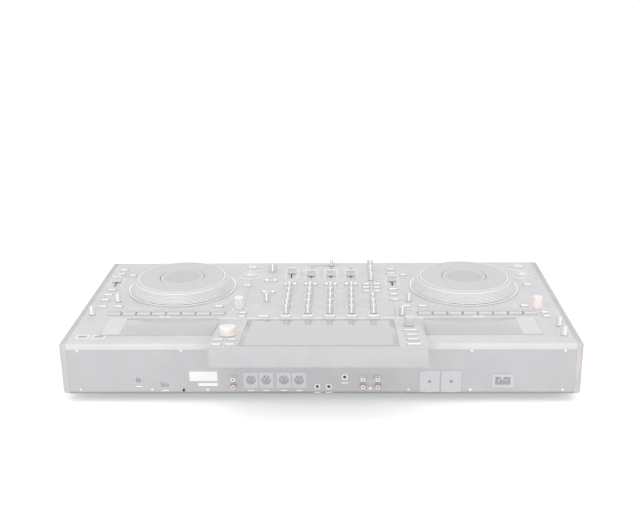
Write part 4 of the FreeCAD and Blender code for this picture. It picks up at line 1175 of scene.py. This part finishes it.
@dataclass
class Buttons:
    """Keys, pads and the round transport buttons."""

    key_edge: float = 0.5 * MM
    pad_edge: float = 1.1 * MM
    window: float = 0.4 * MM
    skin: float = 0.08 * MM
    flange: float = 1.4 * MM
    wide_key: float = 24 * MM
    round_radius: float = 18 * MM
    round_steps: int = 64
    symbol_height: float = 0.25 * MM

    def build(self) -> None:
        """Make every pressed control on its own body."""
        for node in ("panel_keys", "screen_keys"):
            keep(f"{node}_tops", bevelled(node, self.key_edge), [KEY_GREY], node, [node])
        keep("panel_key_lights", self.key_lights(), [LIT_WHITE], "panel_keys")
        keep("screen_key_lights", self.screen_key_lights(), [LIT_WHITE],
             "screen_keys")
        for deck in DECK_NAMES:
            node = f"pads_{deck}"
            rubber = bevelled(node, self.pad_edge, 3)
            keep(f"{node}_rubber", rubber, [PAD_RUBBER], node, [node])
            keep(f"{node}_lights", self.pad_lights(node), [LIT_WHITE], node)
            for kind in ("play", "cue"):
                self.build_round(f"{kind}_button_{deck}", kind == "play")

    def caps(self, node: str) -> list[tuple[Vector, Vector]]:
        """Find the caps of grouped keys, inside the flanges that hold them under the deck.

        Args:
            node: The keys' node.

        Returns:
            Lowest and highest corner of each cap, at the height of its whole solid.
        """
        inset = Vector((self.flange, self.flange, 0.0))
        return [(island.low + inset, island.high - inset) for island in islands(node)]

    def pad_lights(self, node: str) -> bpy.types.Mesh:
        """Make the lit line let into the far edge of each pad.

        Args:
            node: The pads' node.

        Returns:
            One mesh for all its pads.
        """
        shape = bmesh.new()
        for low, high in self.caps(node):
            add_block(shape, (low.x + 2.2 * MM, high.y - 2.9 * MM, high.z - self.window),
                      (high.x - 2.2 * MM, high.y - 1.9 * MM, high.z + 0.06 * MM))
        return as_mesh(shape, f"{node}_lights")

    def key_lights(self) -> bpy.types.Mesh:
        """Make the lit window of each deck key, and two square ones on the wide channel keys.

        Returns:
            One mesh for all the keys.
        """
        shape = bmesh.new()
        for low, high in self.caps("panel_keys"):
            foot, top = high.z - self.window, high.z + self.skin
            if high.x - low.x > self.wide_key:
                for x in (low.x + 1.2 * MM, high.x - 6.2 * MM):
                    add_block(shape, (x, low.y + 2.5 * MM, foot),
                              (x + 5 * MM, high.y - 2.5 * MM, top))
                continue
            add_block(shape, (low.x + 1.4 * MM, high.y - 3.4 * MM, foot),
                      (high.x - 1.4 * MM, high.y - 1.0 * MM, top))
        return as_mesh(shape, "key_lights")

    def screen_key_lights(self) -> bpy.types.Mesh:
        """Make the lit window on each tilted key beside the screen.

        Returns:
            One mesh for all the keys.
        """
        turn = UP.rotation_difference(SCREEN_TILT).to_matrix().to_4x4()
        shapes = []
        for island in islands("screen_keys"):
            shape = bmesh.new()
            half = island.size.x / 2 - self.flange - 1.4 * MM
            add_block(shape, (-half, 0.3 * MM, -0.3 * MM), (half, 2.7 * MM, self.skin))
            middle = Vector((island.middle.x, island.middle.y, self.cap_height(island)))
            shapes.append((shape, Matrix.Translation(middle) @ turn, 0))
        return joined(shapes, "screen_key_lights")

    def cap_height(self, island: Island) -> float:
        """Find the height of a tilted cap's surface over the middle of its box.

        Args:
            island: The box of one screen key.

        Returns:
            The height in metres.
        """
        margin = 0.01 * MM
        reach = max(
            vertex.co.dot(SCREEN_TILT) for vertex in NODES["screen_keys"].data.vertices
            if all(island.low[axis] - margin <= vertex.co[axis] <= island.high[axis] + margin
                   for axis in (0, 1)))
        return (reach - island.middle.y * SCREEN_TILT.y) / SCREEN_TILT.z

    def build_round(self, node: str, play: bool) -> None:
        """Make a round button with a dished face and its symbol, and the bezel round it.

        Args:
            node: The button's node and body.
            play: Whether it carries the play symbol.
        """
        low, high = corners(node)
        deck = deck_top()
        place = Matrix.Translation(((low.x + high.x) / 2, (low.y + high.y) / 2, 0))
        edge, top = self.round_radius, high.z
        face = [(edge, low.z), (edge, top - 0.8 * MM),
                (edge - 0.8 * MM, top), (edge - 1.4 * MM, top)]
        ring = [(edge - 1.4 * MM, top), (edge - 3.4 * MM, top)]
        dish = [(edge - 3.4 * MM, top), (edge - 4.0 * MM, top - 0.4 * MM),
                (edge * 0.5, top - 0.7 * MM), (0.0, top - 0.8 * MM)]
        shapes = [(lathe(profile, self.round_steps), place, 0) for profile in (face, ring, dish)]
        shapes.append((self.symbol(top - 0.75 * MM, play), place, 1))
        keep(f"{node}_top", joined(shapes, node), [KEY_GREY, LIT_WHITE], node, [node])
        bezel = lathe([
            (edge + 1.0 * MM, deck - 0.05 * MM), (edge + 1.1 * MM, deck + 0.5 * MM),
            (edge + 1.9 * MM, deck + 0.5 * MM), (edge + 2.1 * MM, deck - 0.05 * MM),
        ], self.round_steps)
        keep(f"{node}_bezel", joined([(bezel, place, 0)], "bezel"), [INK_AND_HIGHLIGHT])

    def symbol(self, foot: float, play: bool) -> bmesh.types.BMesh:
        """Make the raised sign of a round button: play and pause, or the plain cue bar.

        Args:
            foot: Height of its underside.
            play: Whether it is the play symbol.

        Returns:
            The working shape.
        """
        shape = bmesh.new()
        top = foot + self.symbol_height
        if not play:
            add_block(shape, (-5 * MM, -1 * MM, foot), (5 * MM, 1 * MM, top))
            return shape
        arrow = [shape.verts.new((x * MM, y * MM, foot)) for x, y in ((-6, -3), (-6, 3), (-1, 0))]
        for item in bmesh.ops.extrude_face_region(shape, geom=[shape.faces.new(arrow)])["geom"]:
            if isinstance(item, bmesh.types.BMVert):
                item.co.z += self.symbol_height
        for x in (1.5, 4.0):
            add_block(shape, (x * MM, -3 * MM, foot), ((x + 1.3) * MM, 3 * MM, top))
        return shape


@dataclass
class Faders:
    """Sliding caps with their white lines, and the scales printed beside their slots."""

    edge: float = 0.6 * MM
    line: float = 1.2 * MM
    line_depth: float = 11 * MM
    skin: float = 0.05 * MM
    marks: int = 11
    mark_reach: float = 12.5 * MM

    def build(self) -> None:
        """Make every fader."""
        deck = deck_top()
        points = []
        for node in sorted(NODES):
            if not (node.endswith("fader") or node.startswith("tempo_slider")):
                continue
            keep(f"{node}_grip", bevelled(node, self.edge), [KNOB_SOFT], node, [node])
            keep(f"{node}_line", self.cap_line(node), [INK_AND_HIGHLIGHT], node)
            points.extend(self.scale_points(node, deck))
        bar = bmesh.new()
        add_block(bar, (-2.2 * MM, -0.25 * MM, 0), (2.2 * MM, 0.25 * MM, 0.12 * MM))
        mesh = RepeatTree("fader_scales", as_mesh(bar, "scale_mark"), INK_AND_HIGHLIGHT).build(points)
        keep("fader_scale_print", mesh, [INK_AND_HIGHLIGHT])

    def cap_line(self, node: str) -> bpy.types.Mesh:
        """Make the white line over a cap, across its travel, and down both of its ends.

        Args:
            node: The fader's node.

        Returns:
            The line, a little proud of the cap.
        """
        low, high = corners(node)
        along, across = (0, 1) if node == "crossfader" else (1, 0)
        middle = (low[along] + high[along]) / 2
        foot, half, skin = high.z - self.line_depth, self.line / 2, self.skin
        shape = bmesh.new()
        for start, end, lower, upper in (
            (low[across] - skin, high[across] + skin, high.z - 0.9 * MM, high.z + skin),
            (low[across] - skin, low[across] + 0.5 * MM, foot, high.z),
            (high[across] - 0.5 * MM, high[across] + skin, foot, high.z),
        ):
            near, far = [0.0, 0.0, lower], [0.0, 0.0, upper]
            near[along], far[along] = middle - half, middle + half
            near[across], far[across] = start, end
            add_block(shape, near, far)
        return as_mesh(shape, f"{node}_line")

    def scale_points(self, node: str, deck: float) -> list[tuple[Vector, Vector]]:
        """Find the places of the scale marks on both sides of an upright slot.

        Args:
            node: The fader's node.
            deck: Height of the deck.

        Returns:
            Place and direction of each mark; none for the crossfader.
        """
        if node == "crossfader":
            return []
        low, high = corners(node)
        middle = (low + high) / 2
        first, last = JOINTS[node]["range_m"]
        points = []
        for number in range(self.marks):
            y = middle.y + first + (last - first) * number / (self.marks - 1)
            for side in (-1, 1):
                points.append((Vector((middle.x + side * self.mark_reach, y, deck)), UP))
        return points


@dataclass
class Print:
    """White print on the deck and under the rear sockets, level meters, seams, blank labels, and
    painted reflections on the inlays' outer ends.
    """

    ink: float = 0.12 * MM
    sunk: float = 0.02 * MM
    meter_lamps: int = 15
    meter_foot: float = -212 * MM
    meter_step: float = 3.7 * MM
    seam_reach: float = 84 * MM
    seam_ends: tuple[float, float] = (-262 * MM, 61.5 * MM)
    slot_half: tuple[float, float] = (11 * MM, 7 * MM)
    label_places: tuple[tuple[float, ...], ...] = (
        (187 * MM, 238 * MM, 44 * MM, 63 * MM), (187 * MM, 222 * MM, 34 * MM, 40 * MM))
    loop_ring: tuple[float, float] = (13.0 * MM, 13.7 * MM)
    ring_steps: int = 48
    reflection_length: float = 36 * MM
    reflection_inset: float = 1.5 * MM
    lowest_mark: float = 19 * MM
    highest_socket: float = 100 * MM

    def build(self) -> None:
        """Make the printed bars, rings, meters, frames, labels, and the painted reflections on the
        inlays.
        """
        deck = deck_top()
        faders = [corners(f"channel_{number}_fader") for number in (1, 2, 3, 4)]
        centres = [(low.x + high.x) / 2 for low, high in faders]
        self.build_seams(deck, (centres[0] - self.seam_reach, centres[-1] + self.seam_reach))
        self.build_deck_lines(deck)
        self.build_meters(deck, centres)
        self.build_socket_marks()
        self.build_slot_frames(deck)
        self.build_label()
        self.build_inlay_reflections()

    def build_seams(self, deck: float, places: Sequence[float]) -> None:
        """Draw the seams between the mixer's panel and the two decks.

        Args:
            deck: Height of the deck.
            places: Place of each seam along X.
        """
        start, end = self.seam_ends
        shape = bmesh.new()
        for x in places:
            add_block(shape, (x - 0.4 * MM, start, deck - self.ink),
                      (x + 0.4 * MM, end, deck + self.ink / 2))
        keep("mixer_seams", as_mesh(shape, "mixer_seams"), [SEAM])

    def build_deck_lines(self, deck: float) -> None:
        """Print the deck's long lines, the bars over the pads and the encoders' rings.

        Args:
            deck: Height of the deck.
        """
        top = deck + self.ink
        shape = bmesh.new()
        low, high = corners("deck_inlays")
        add_block(shape, (low.x, low.y - 2.4 * MM, deck), (high.x, low.y - 1.4 * MM, top))
        for name in DECK_NAMES:
            low, high = corners(f"pads_{name}")
            middle = (low.x + high.x) / 2
            add_block(shape, (low.x, low.y - 3.4 * MM, deck), (high.x, low.y - 2.8 * MM, top))
            for side in (-1, 1):
                add_block(shape, (middle + side * 6 * MM - 4 * MM, high.y + 4 * MM, deck),
                          (middle + side * 6 * MM + 4 * MM, high.y + 6 * MM, top))
            low, high = corners(f"loop_knob_{name}")
            place = Matrix.Translation(((low.x + high.x) / 2, (low.y + high.y) / 2, deck))
            inner, outer = self.loop_ring
            ring = lathe([(inner, 0.0), (inner, self.ink), (outer, self.ink), (outer, 0.0)],
                         self.ring_steps)
            mesh = joined([(ring, place, 0)], "ring")
            keep(f"loop_ring_print_{name}", mesh, [INK_AND_HIGHLIGHT])
        keep("deck_line_print", as_mesh(shape, "deck_lines"), [INK_AND_HIGHLIGHT])

    def build_meters(self, deck: float, centres: Sequence[float]) -> None:
        """Set two rows of meter lamps between each pair of channels.

        Args:
            deck: Height of the deck.
            centres: Place of each channel along X.
        """
        lamps = []
        for left, right in zip(centres, centres[1:]):
            for number in range(self.meter_lamps):
                y = self.meter_foot + self.meter_step * number
                for side in (-1, 1):
                    lamps.append((Vector(((left + right) / 2 + side * 1.6 * MM, y, deck)), UP))
        lamp = bmesh.new()
        add_block(lamp, (-1.1 * MM, -1.2 * MM, 0), (1.1 * MM, 1.2 * MM, 0.3 * MM))
        mesh = RepeatTree("level_meters", as_mesh(lamp, "meter_lamp"), KEY_GREY).build(lamps)
        keep("level_meter_lamps", mesh, [KEY_GREY])

    def build_socket_marks(self) -> None:
        """Print a short bar under each rear socket, as far below it as its flange asks."""
        face = rear_face()
        shape = bmesh.new()
        drops = {"xlr_sockets": 22 * MM, "jack_sockets": 13 * MM, "data_ports": 13 * MM}
        for node, drop in drops.items():
            for island in islands(node):
                middle = island.middle
                if middle.y < 0 or island.high.z > self.highest_socket:
                    continue
                low = max(middle.z - drop, self.lowest_mark)
                add_block(shape, (middle.x - 6 * MM, face - self.sunk, low),
                          (middle.x + 6 * MM, face + self.ink, low + 0.8 * MM))
        keep("socket_print", as_mesh(shape, "socket_print"), [INK_AND_HIGHLIGHT])

    def build_slot_frames(self, deck: float) -> None:
        """Print a frame round each memory-stick slot.

        Args:
            deck: Height of the deck.
        """
        half_x, half_y = self.slot_half
        top = deck + self.ink
        shape = bmesh.new()
        for island in islands("data_ports"):
            if island.high.z < deck:
                continue
            x, y = island.middle.x, island.middle.y
            for side in (-1, 1):
                add_block(shape, (x - half_x, y + side * half_y - 0.5 * MM, deck),
                          (x + half_x, y + side * half_y + 0.5 * MM, top))
                add_block(shape, (x + side * half_x - 0.4 * MM, y - half_y, deck),
                          (x + side * half_x + 0.4 * MM, y + half_y, top))
        keep("slot_frame_print", as_mesh(shape, "slot_frames"), [INK_AND_HIGHLIGHT])

    def build_label(self) -> None:
        """Stick a blank label and a blank strip on the rear wall beside the sockets."""
        face = rear_face()
        shape = bmesh.new()
        for left, right, foot, top in self.label_places:
            add_block(shape, (left, face - self.sunk, foot), (right, face + 0.15 * MM, top))
        keep("blank_label", as_mesh(shape, "blank_label"), [LABEL_FILM])

    def build_inlay_reflections(self) -> None:
        """Lay a lighter satin patch over the outer end of each gloss inlay: a painted reflection.
        """
        inset = self.reflection_inset
        shape = bmesh.new()
        for island in islands("deck_inlays"):
            side = 1 if island.middle.x > 0 else -1
            outer = island.high.x if side > 0 else island.low.x
            start, end = sorted((outer - side * inset, outer - side * self.reflection_length))
            add_block(shape, (start, island.low.y + inset, island.high.z - 0.05 * MM),
                      (end, island.high.y - inset, island.high.z + 0.08 * MM))
        keep("inlay_end_film", as_mesh(shape, "inlay_ends"), [INLAY_PAINTED_REFLECTION])


@dataclass
class Sockets:
    """Finishes and contacts of the sockets, and the screws of the walls."""

    pin: float = 1.2 * MM
    pin_steps: int = 16
    pin_depth: float = 13.9 * MM
    blade_depth: float = 17.9 * MM
    phono_steps: int = 32
    head_steps: int = 20
    upper_screws_mm: tuple[float, ...] = (-440, -273, -161, 169, 251, 440)
    lower_screws_mm: tuple[float, ...] = (-440, -273, -161, 206, 308, 440)
    bottom_screws_mm: tuple[float, ...] = (-420, -140, 140, 420)
    screw_heights_mm: tuple[float, float] = (104, 26.5)
    bottom_inset: float = 16 * MM

    def build(self) -> None:
        """Dress the sockets and add their contacts, rings and screws."""
        # The socket nylon's glow is painted light that lifts the shade in the wells.
        dress("xlr_sockets", SOCKET_NYLON_PAINTED_LIGHT)
        dress("jack_sockets", NICKEL)
        dress("phono_sockets", NICKEL)
        dress("data_ports", SOCKET_NYLON_PAINTED_LIGHT)
        dress("power_inlet", SOCKET_NYLON_PAINTED_LIGHT)
        self.build_pins()
        self.build_phono_rings()
        self.build_screws()

    def build_pins(self) -> None:
        """Put three contact pins in each output socket and three blades in the inlet."""
        face = rear_face()
        shapes = []
        for island in islands("xlr_sockets"):
            if island.middle.x < 0:
                continue
            for x, z in ((-3.5, 1.6), (3.5, 1.6), (0.0, -3.8)):
                pin = lathe([
                    (self.pin, 0.0), (self.pin, 10 * MM),
                    (self.pin * 0.5, 11 * MM), (0.0, 11.2 * MM),
                ], self.pin_steps)
                place = (island.middle.x + x * MM, face - self.pin_depth,
                         island.middle.z + z * MM)
                shapes.append((pin, Matrix.Translation(place) @ TO_REAR, 0))
        low, high = corners("power_inlet")
        middle = (low + high) / 2
        for x, z in ((-7.0, -2.0), (7.0, -2.0), (0.0, 3.0)):
            blade = bmesh.new()
            add_block(blade, (-1.0 * MM, -2.2 * MM, 0), (1.0 * MM, 2.2 * MM, 14 * MM), 0.3 * MM)
            place = (middle.x + x * MM, face - self.blade_depth, middle.z + z * MM)
            shapes.append((blade, Matrix.Translation(place) @ TO_REAR, 0))
        keep("socket_contacts", joined(shapes, "contacts"), [NICKEL])

    def build_phono_rings(self) -> None:
        """Slip a coloured insulating ring round each phono socket, red below and white above."""
        rows = [item for item in islands("phono_sockets") if item.size.x > 10 * MM]
        middle_height = sum(item.middle.z for item in rows) / len(rows)
        shapes = []
        for item in rows:
            ring = lathe([
                (4.3 * MM, 1.4 * MM), (4.3 * MM, 3.4 * MM), (5.2 * MM, 3.4 * MM),
                (5.6 * MM, 3.0 * MM), (5.7 * MM, 1.4 * MM),
            ], self.phono_steps)
            place = Matrix.Translation((item.middle.x, rear_face(), item.middle.z))
            shapes.append((ring, place @ TO_REAR, 0 if item.middle.z > middle_height else 1))
        keep("phono_rings", joined(shapes, "rings"), [WHITE_NYLON, RED_NYLON])

    def build_screws(self) -> None:
        """Set pan-head screws along the rear wall and under the bottom plate."""
        face = rear_face()
        low, high = corners("bottom_plate")
        points = []
        rows = (self.upper_screws_mm, self.lower_screws_mm)
        for places, height in zip(rows, self.screw_heights_mm):
            for x in places:
                points.append((Vector((x * MM, face, height * MM)), Vector((0, 1, 0))))
        for x in self.bottom_screws_mm:
            for y in (low.y + self.bottom_inset, high.y - self.bottom_inset):
                points.append((Vector((x * MM, y, low.z)), -UP))
        head = lathe([
            (2.9 * MM, 0.0), (2.8 * MM, 0.7 * MM), (2.2 * MM, 1.2 * MM), (1.0 * MM, 1.4 * MM),
            (0.8 * MM, 0.7 * MM), (0.0, 0.6 * MM),
        ], self.head_steps)
        mesh = RepeatTree("case_screws", as_mesh(head, "screw_head"), NICKEL).build(points)
        keep("case_screw_heads", mesh, [NICKEL])


@dataclass
class Studio:
    """Floor, lights and camera."""

    eye: tuple[float, float, float] = (-0.044, 1.736, 0.8145)
    aim: tuple[float, float, float] = (0.025, -0.946, -0.322)
    roll: float = -0.7
    lens: float = 53.35
    floor_size: float = 14.0
    floor_colour: str = "#F4F4F4"
    floor_glow: float = 0.35
    sky: float = 0.72
    lamps: list[tuple[str, tuple[float, float, float], tuple[float, float], float]] = field(
        default_factory=lambda: [
            ("key_lamp", (1.0, 0.8, 3.0), (3.0, 3.0), 20.0),
            ("fill_lamp", (-1.6, 0.3, 2.8), (3.0, 3.0), 14.0),
            ("rear_lamp", (0.0, 3.6, 0.9), (3.4, 1.6), 20.0),
            ("low_lamp", (0.0, 2.3, 0.16), (2.6, 0.26), 9.0),
        ])

    def build(self) -> None:
        """Set the studio up."""
        self.build_floor()
        self.build_lamps()
        self.build_camera()

    @staticmethod
    def seen_rays(tree: bpy.types.NodeTree) -> bpy.types.NodeSocket:
        """Find the rays that see the background: straight, in a gloss, or through glass.

        Args:
            tree: Node tree of the floor or of the sky.

        Returns:
            A socket that is 1 for such a ray and 0 for one that only lights.
        """
        rays = add_node(tree, "ShaderNodeLightPath")
        mirrored = add_node(tree, "ShaderNodeMath", {"operation": "MAXIMUM"}, {
            0: rays.outputs["Is Camera Ray"], 1: rays.outputs["Is Glossy Ray"],
        })
        seen = add_node(tree, "ShaderNodeMath", {"operation": "MAXIMUM"}, {
            0: mirrored.outputs["Value"], 1: rays.outputs["Is Transmission Ray"],
        })
        return seen.outputs["Value"]

    def build_floor(self) -> None:
        """Lay a plain pale floor that keeps the object's shadow."""
        shape = bmesh.new()
        bmesh.ops.create_grid(shape, x_segments=1, y_segments=1, size=self.floor_size)
        floor = new_object("studio_floor", as_mesh(shape, "studio_floor"))
        material = bpy.data.materials.new("studio_paper")
        material.use_nodes = True
        tree = material.node_tree
        shader = tree.nodes["Principled BSDF"]
        shader.inputs["Base Color"].default_value = linear(self.floor_colour)
        shader.inputs["Roughness"].default_value = 0.9
        shader.inputs["Emission Color"].default_value = linear("#FFFFFF")
        glow = add_node(tree, "ShaderNodeMath", {"operation": "MULTIPLY"}, {
            0: self.seen_rays(tree), 1: self.floor_glow,
        })
        tree.links.new(glow.outputs["Value"], shader.inputs["Emission Strength"])
        floor.data.materials.append(material)

    def build_lamps(self) -> None:
        """Hang soft area lamps over the object, under a pale even sky."""
        for name, place, size, power in self.lamps:
            lamp = bpy.data.lights.new(name, "AREA")
            lamp.shape = "RECTANGLE"
            lamp.size, lamp.size_y = size
            lamp.energy = power
            holder = bpy.data.objects.new(name, lamp)
            holder.location = place
            holder.rotation_euler = (-Vector(place)).to_track_quat("-Z", "Y").to_euler()
            bpy.context.scene.collection.objects.link(holder)
        world = bpy.data.worlds.new("studio_sky")
        world.use_nodes = True
        tree = world.node_tree
        sky = tree.nodes["Background"]
        sky.inputs["Color"].default_value = linear("#FFFFFF")
        level = add_node(tree, "ShaderNodeMapRange", None, {
            "Value": self.seen_rays(tree), "To Min": self.sky, "To Max": 1.0,
        })
        tree.links.new(level.outputs["Result"], sky.inputs["Strength"])
        bpy.context.scene.world = world

    def build_camera(self) -> None:
        """Stand the camera behind and above the object."""
        data = bpy.data.cameras.new("studio_camera")
        data.lens = self.lens
        data.sensor_width = 36.0
        data.clip_end = 50.0
        camera = bpy.data.objects.new("studio_camera", data)
        camera.location = self.eye
        facing = Vector(self.aim).to_track_quat("-Z", "Y").to_matrix().to_4x4()
        turn = facing @ Matrix.Rotation(math.radians(self.roll), 4, "Z")
        camera.rotation_euler = turn.to_euler()
        bpy.context.scene.collection.objects.link(camera)
        bpy.context.scene.camera = camera


def main() -> None:
    """Build every sub-assembly in order."""
    logging.basicConfig(level=logging.INFO, format="%(message)s")
    bpy.context.scene.view_settings.view_transform = "Standard"
    Studio().build()
    Casework().build()
    Screen().build()
    for deck in DECK_NAMES:
        JogWheel(deck).build()
    Knobs().build()
    Buttons().build()
    Faders().build()
    Print().build()
    Sockets().build()


if __name__ == "__main__":
    main()
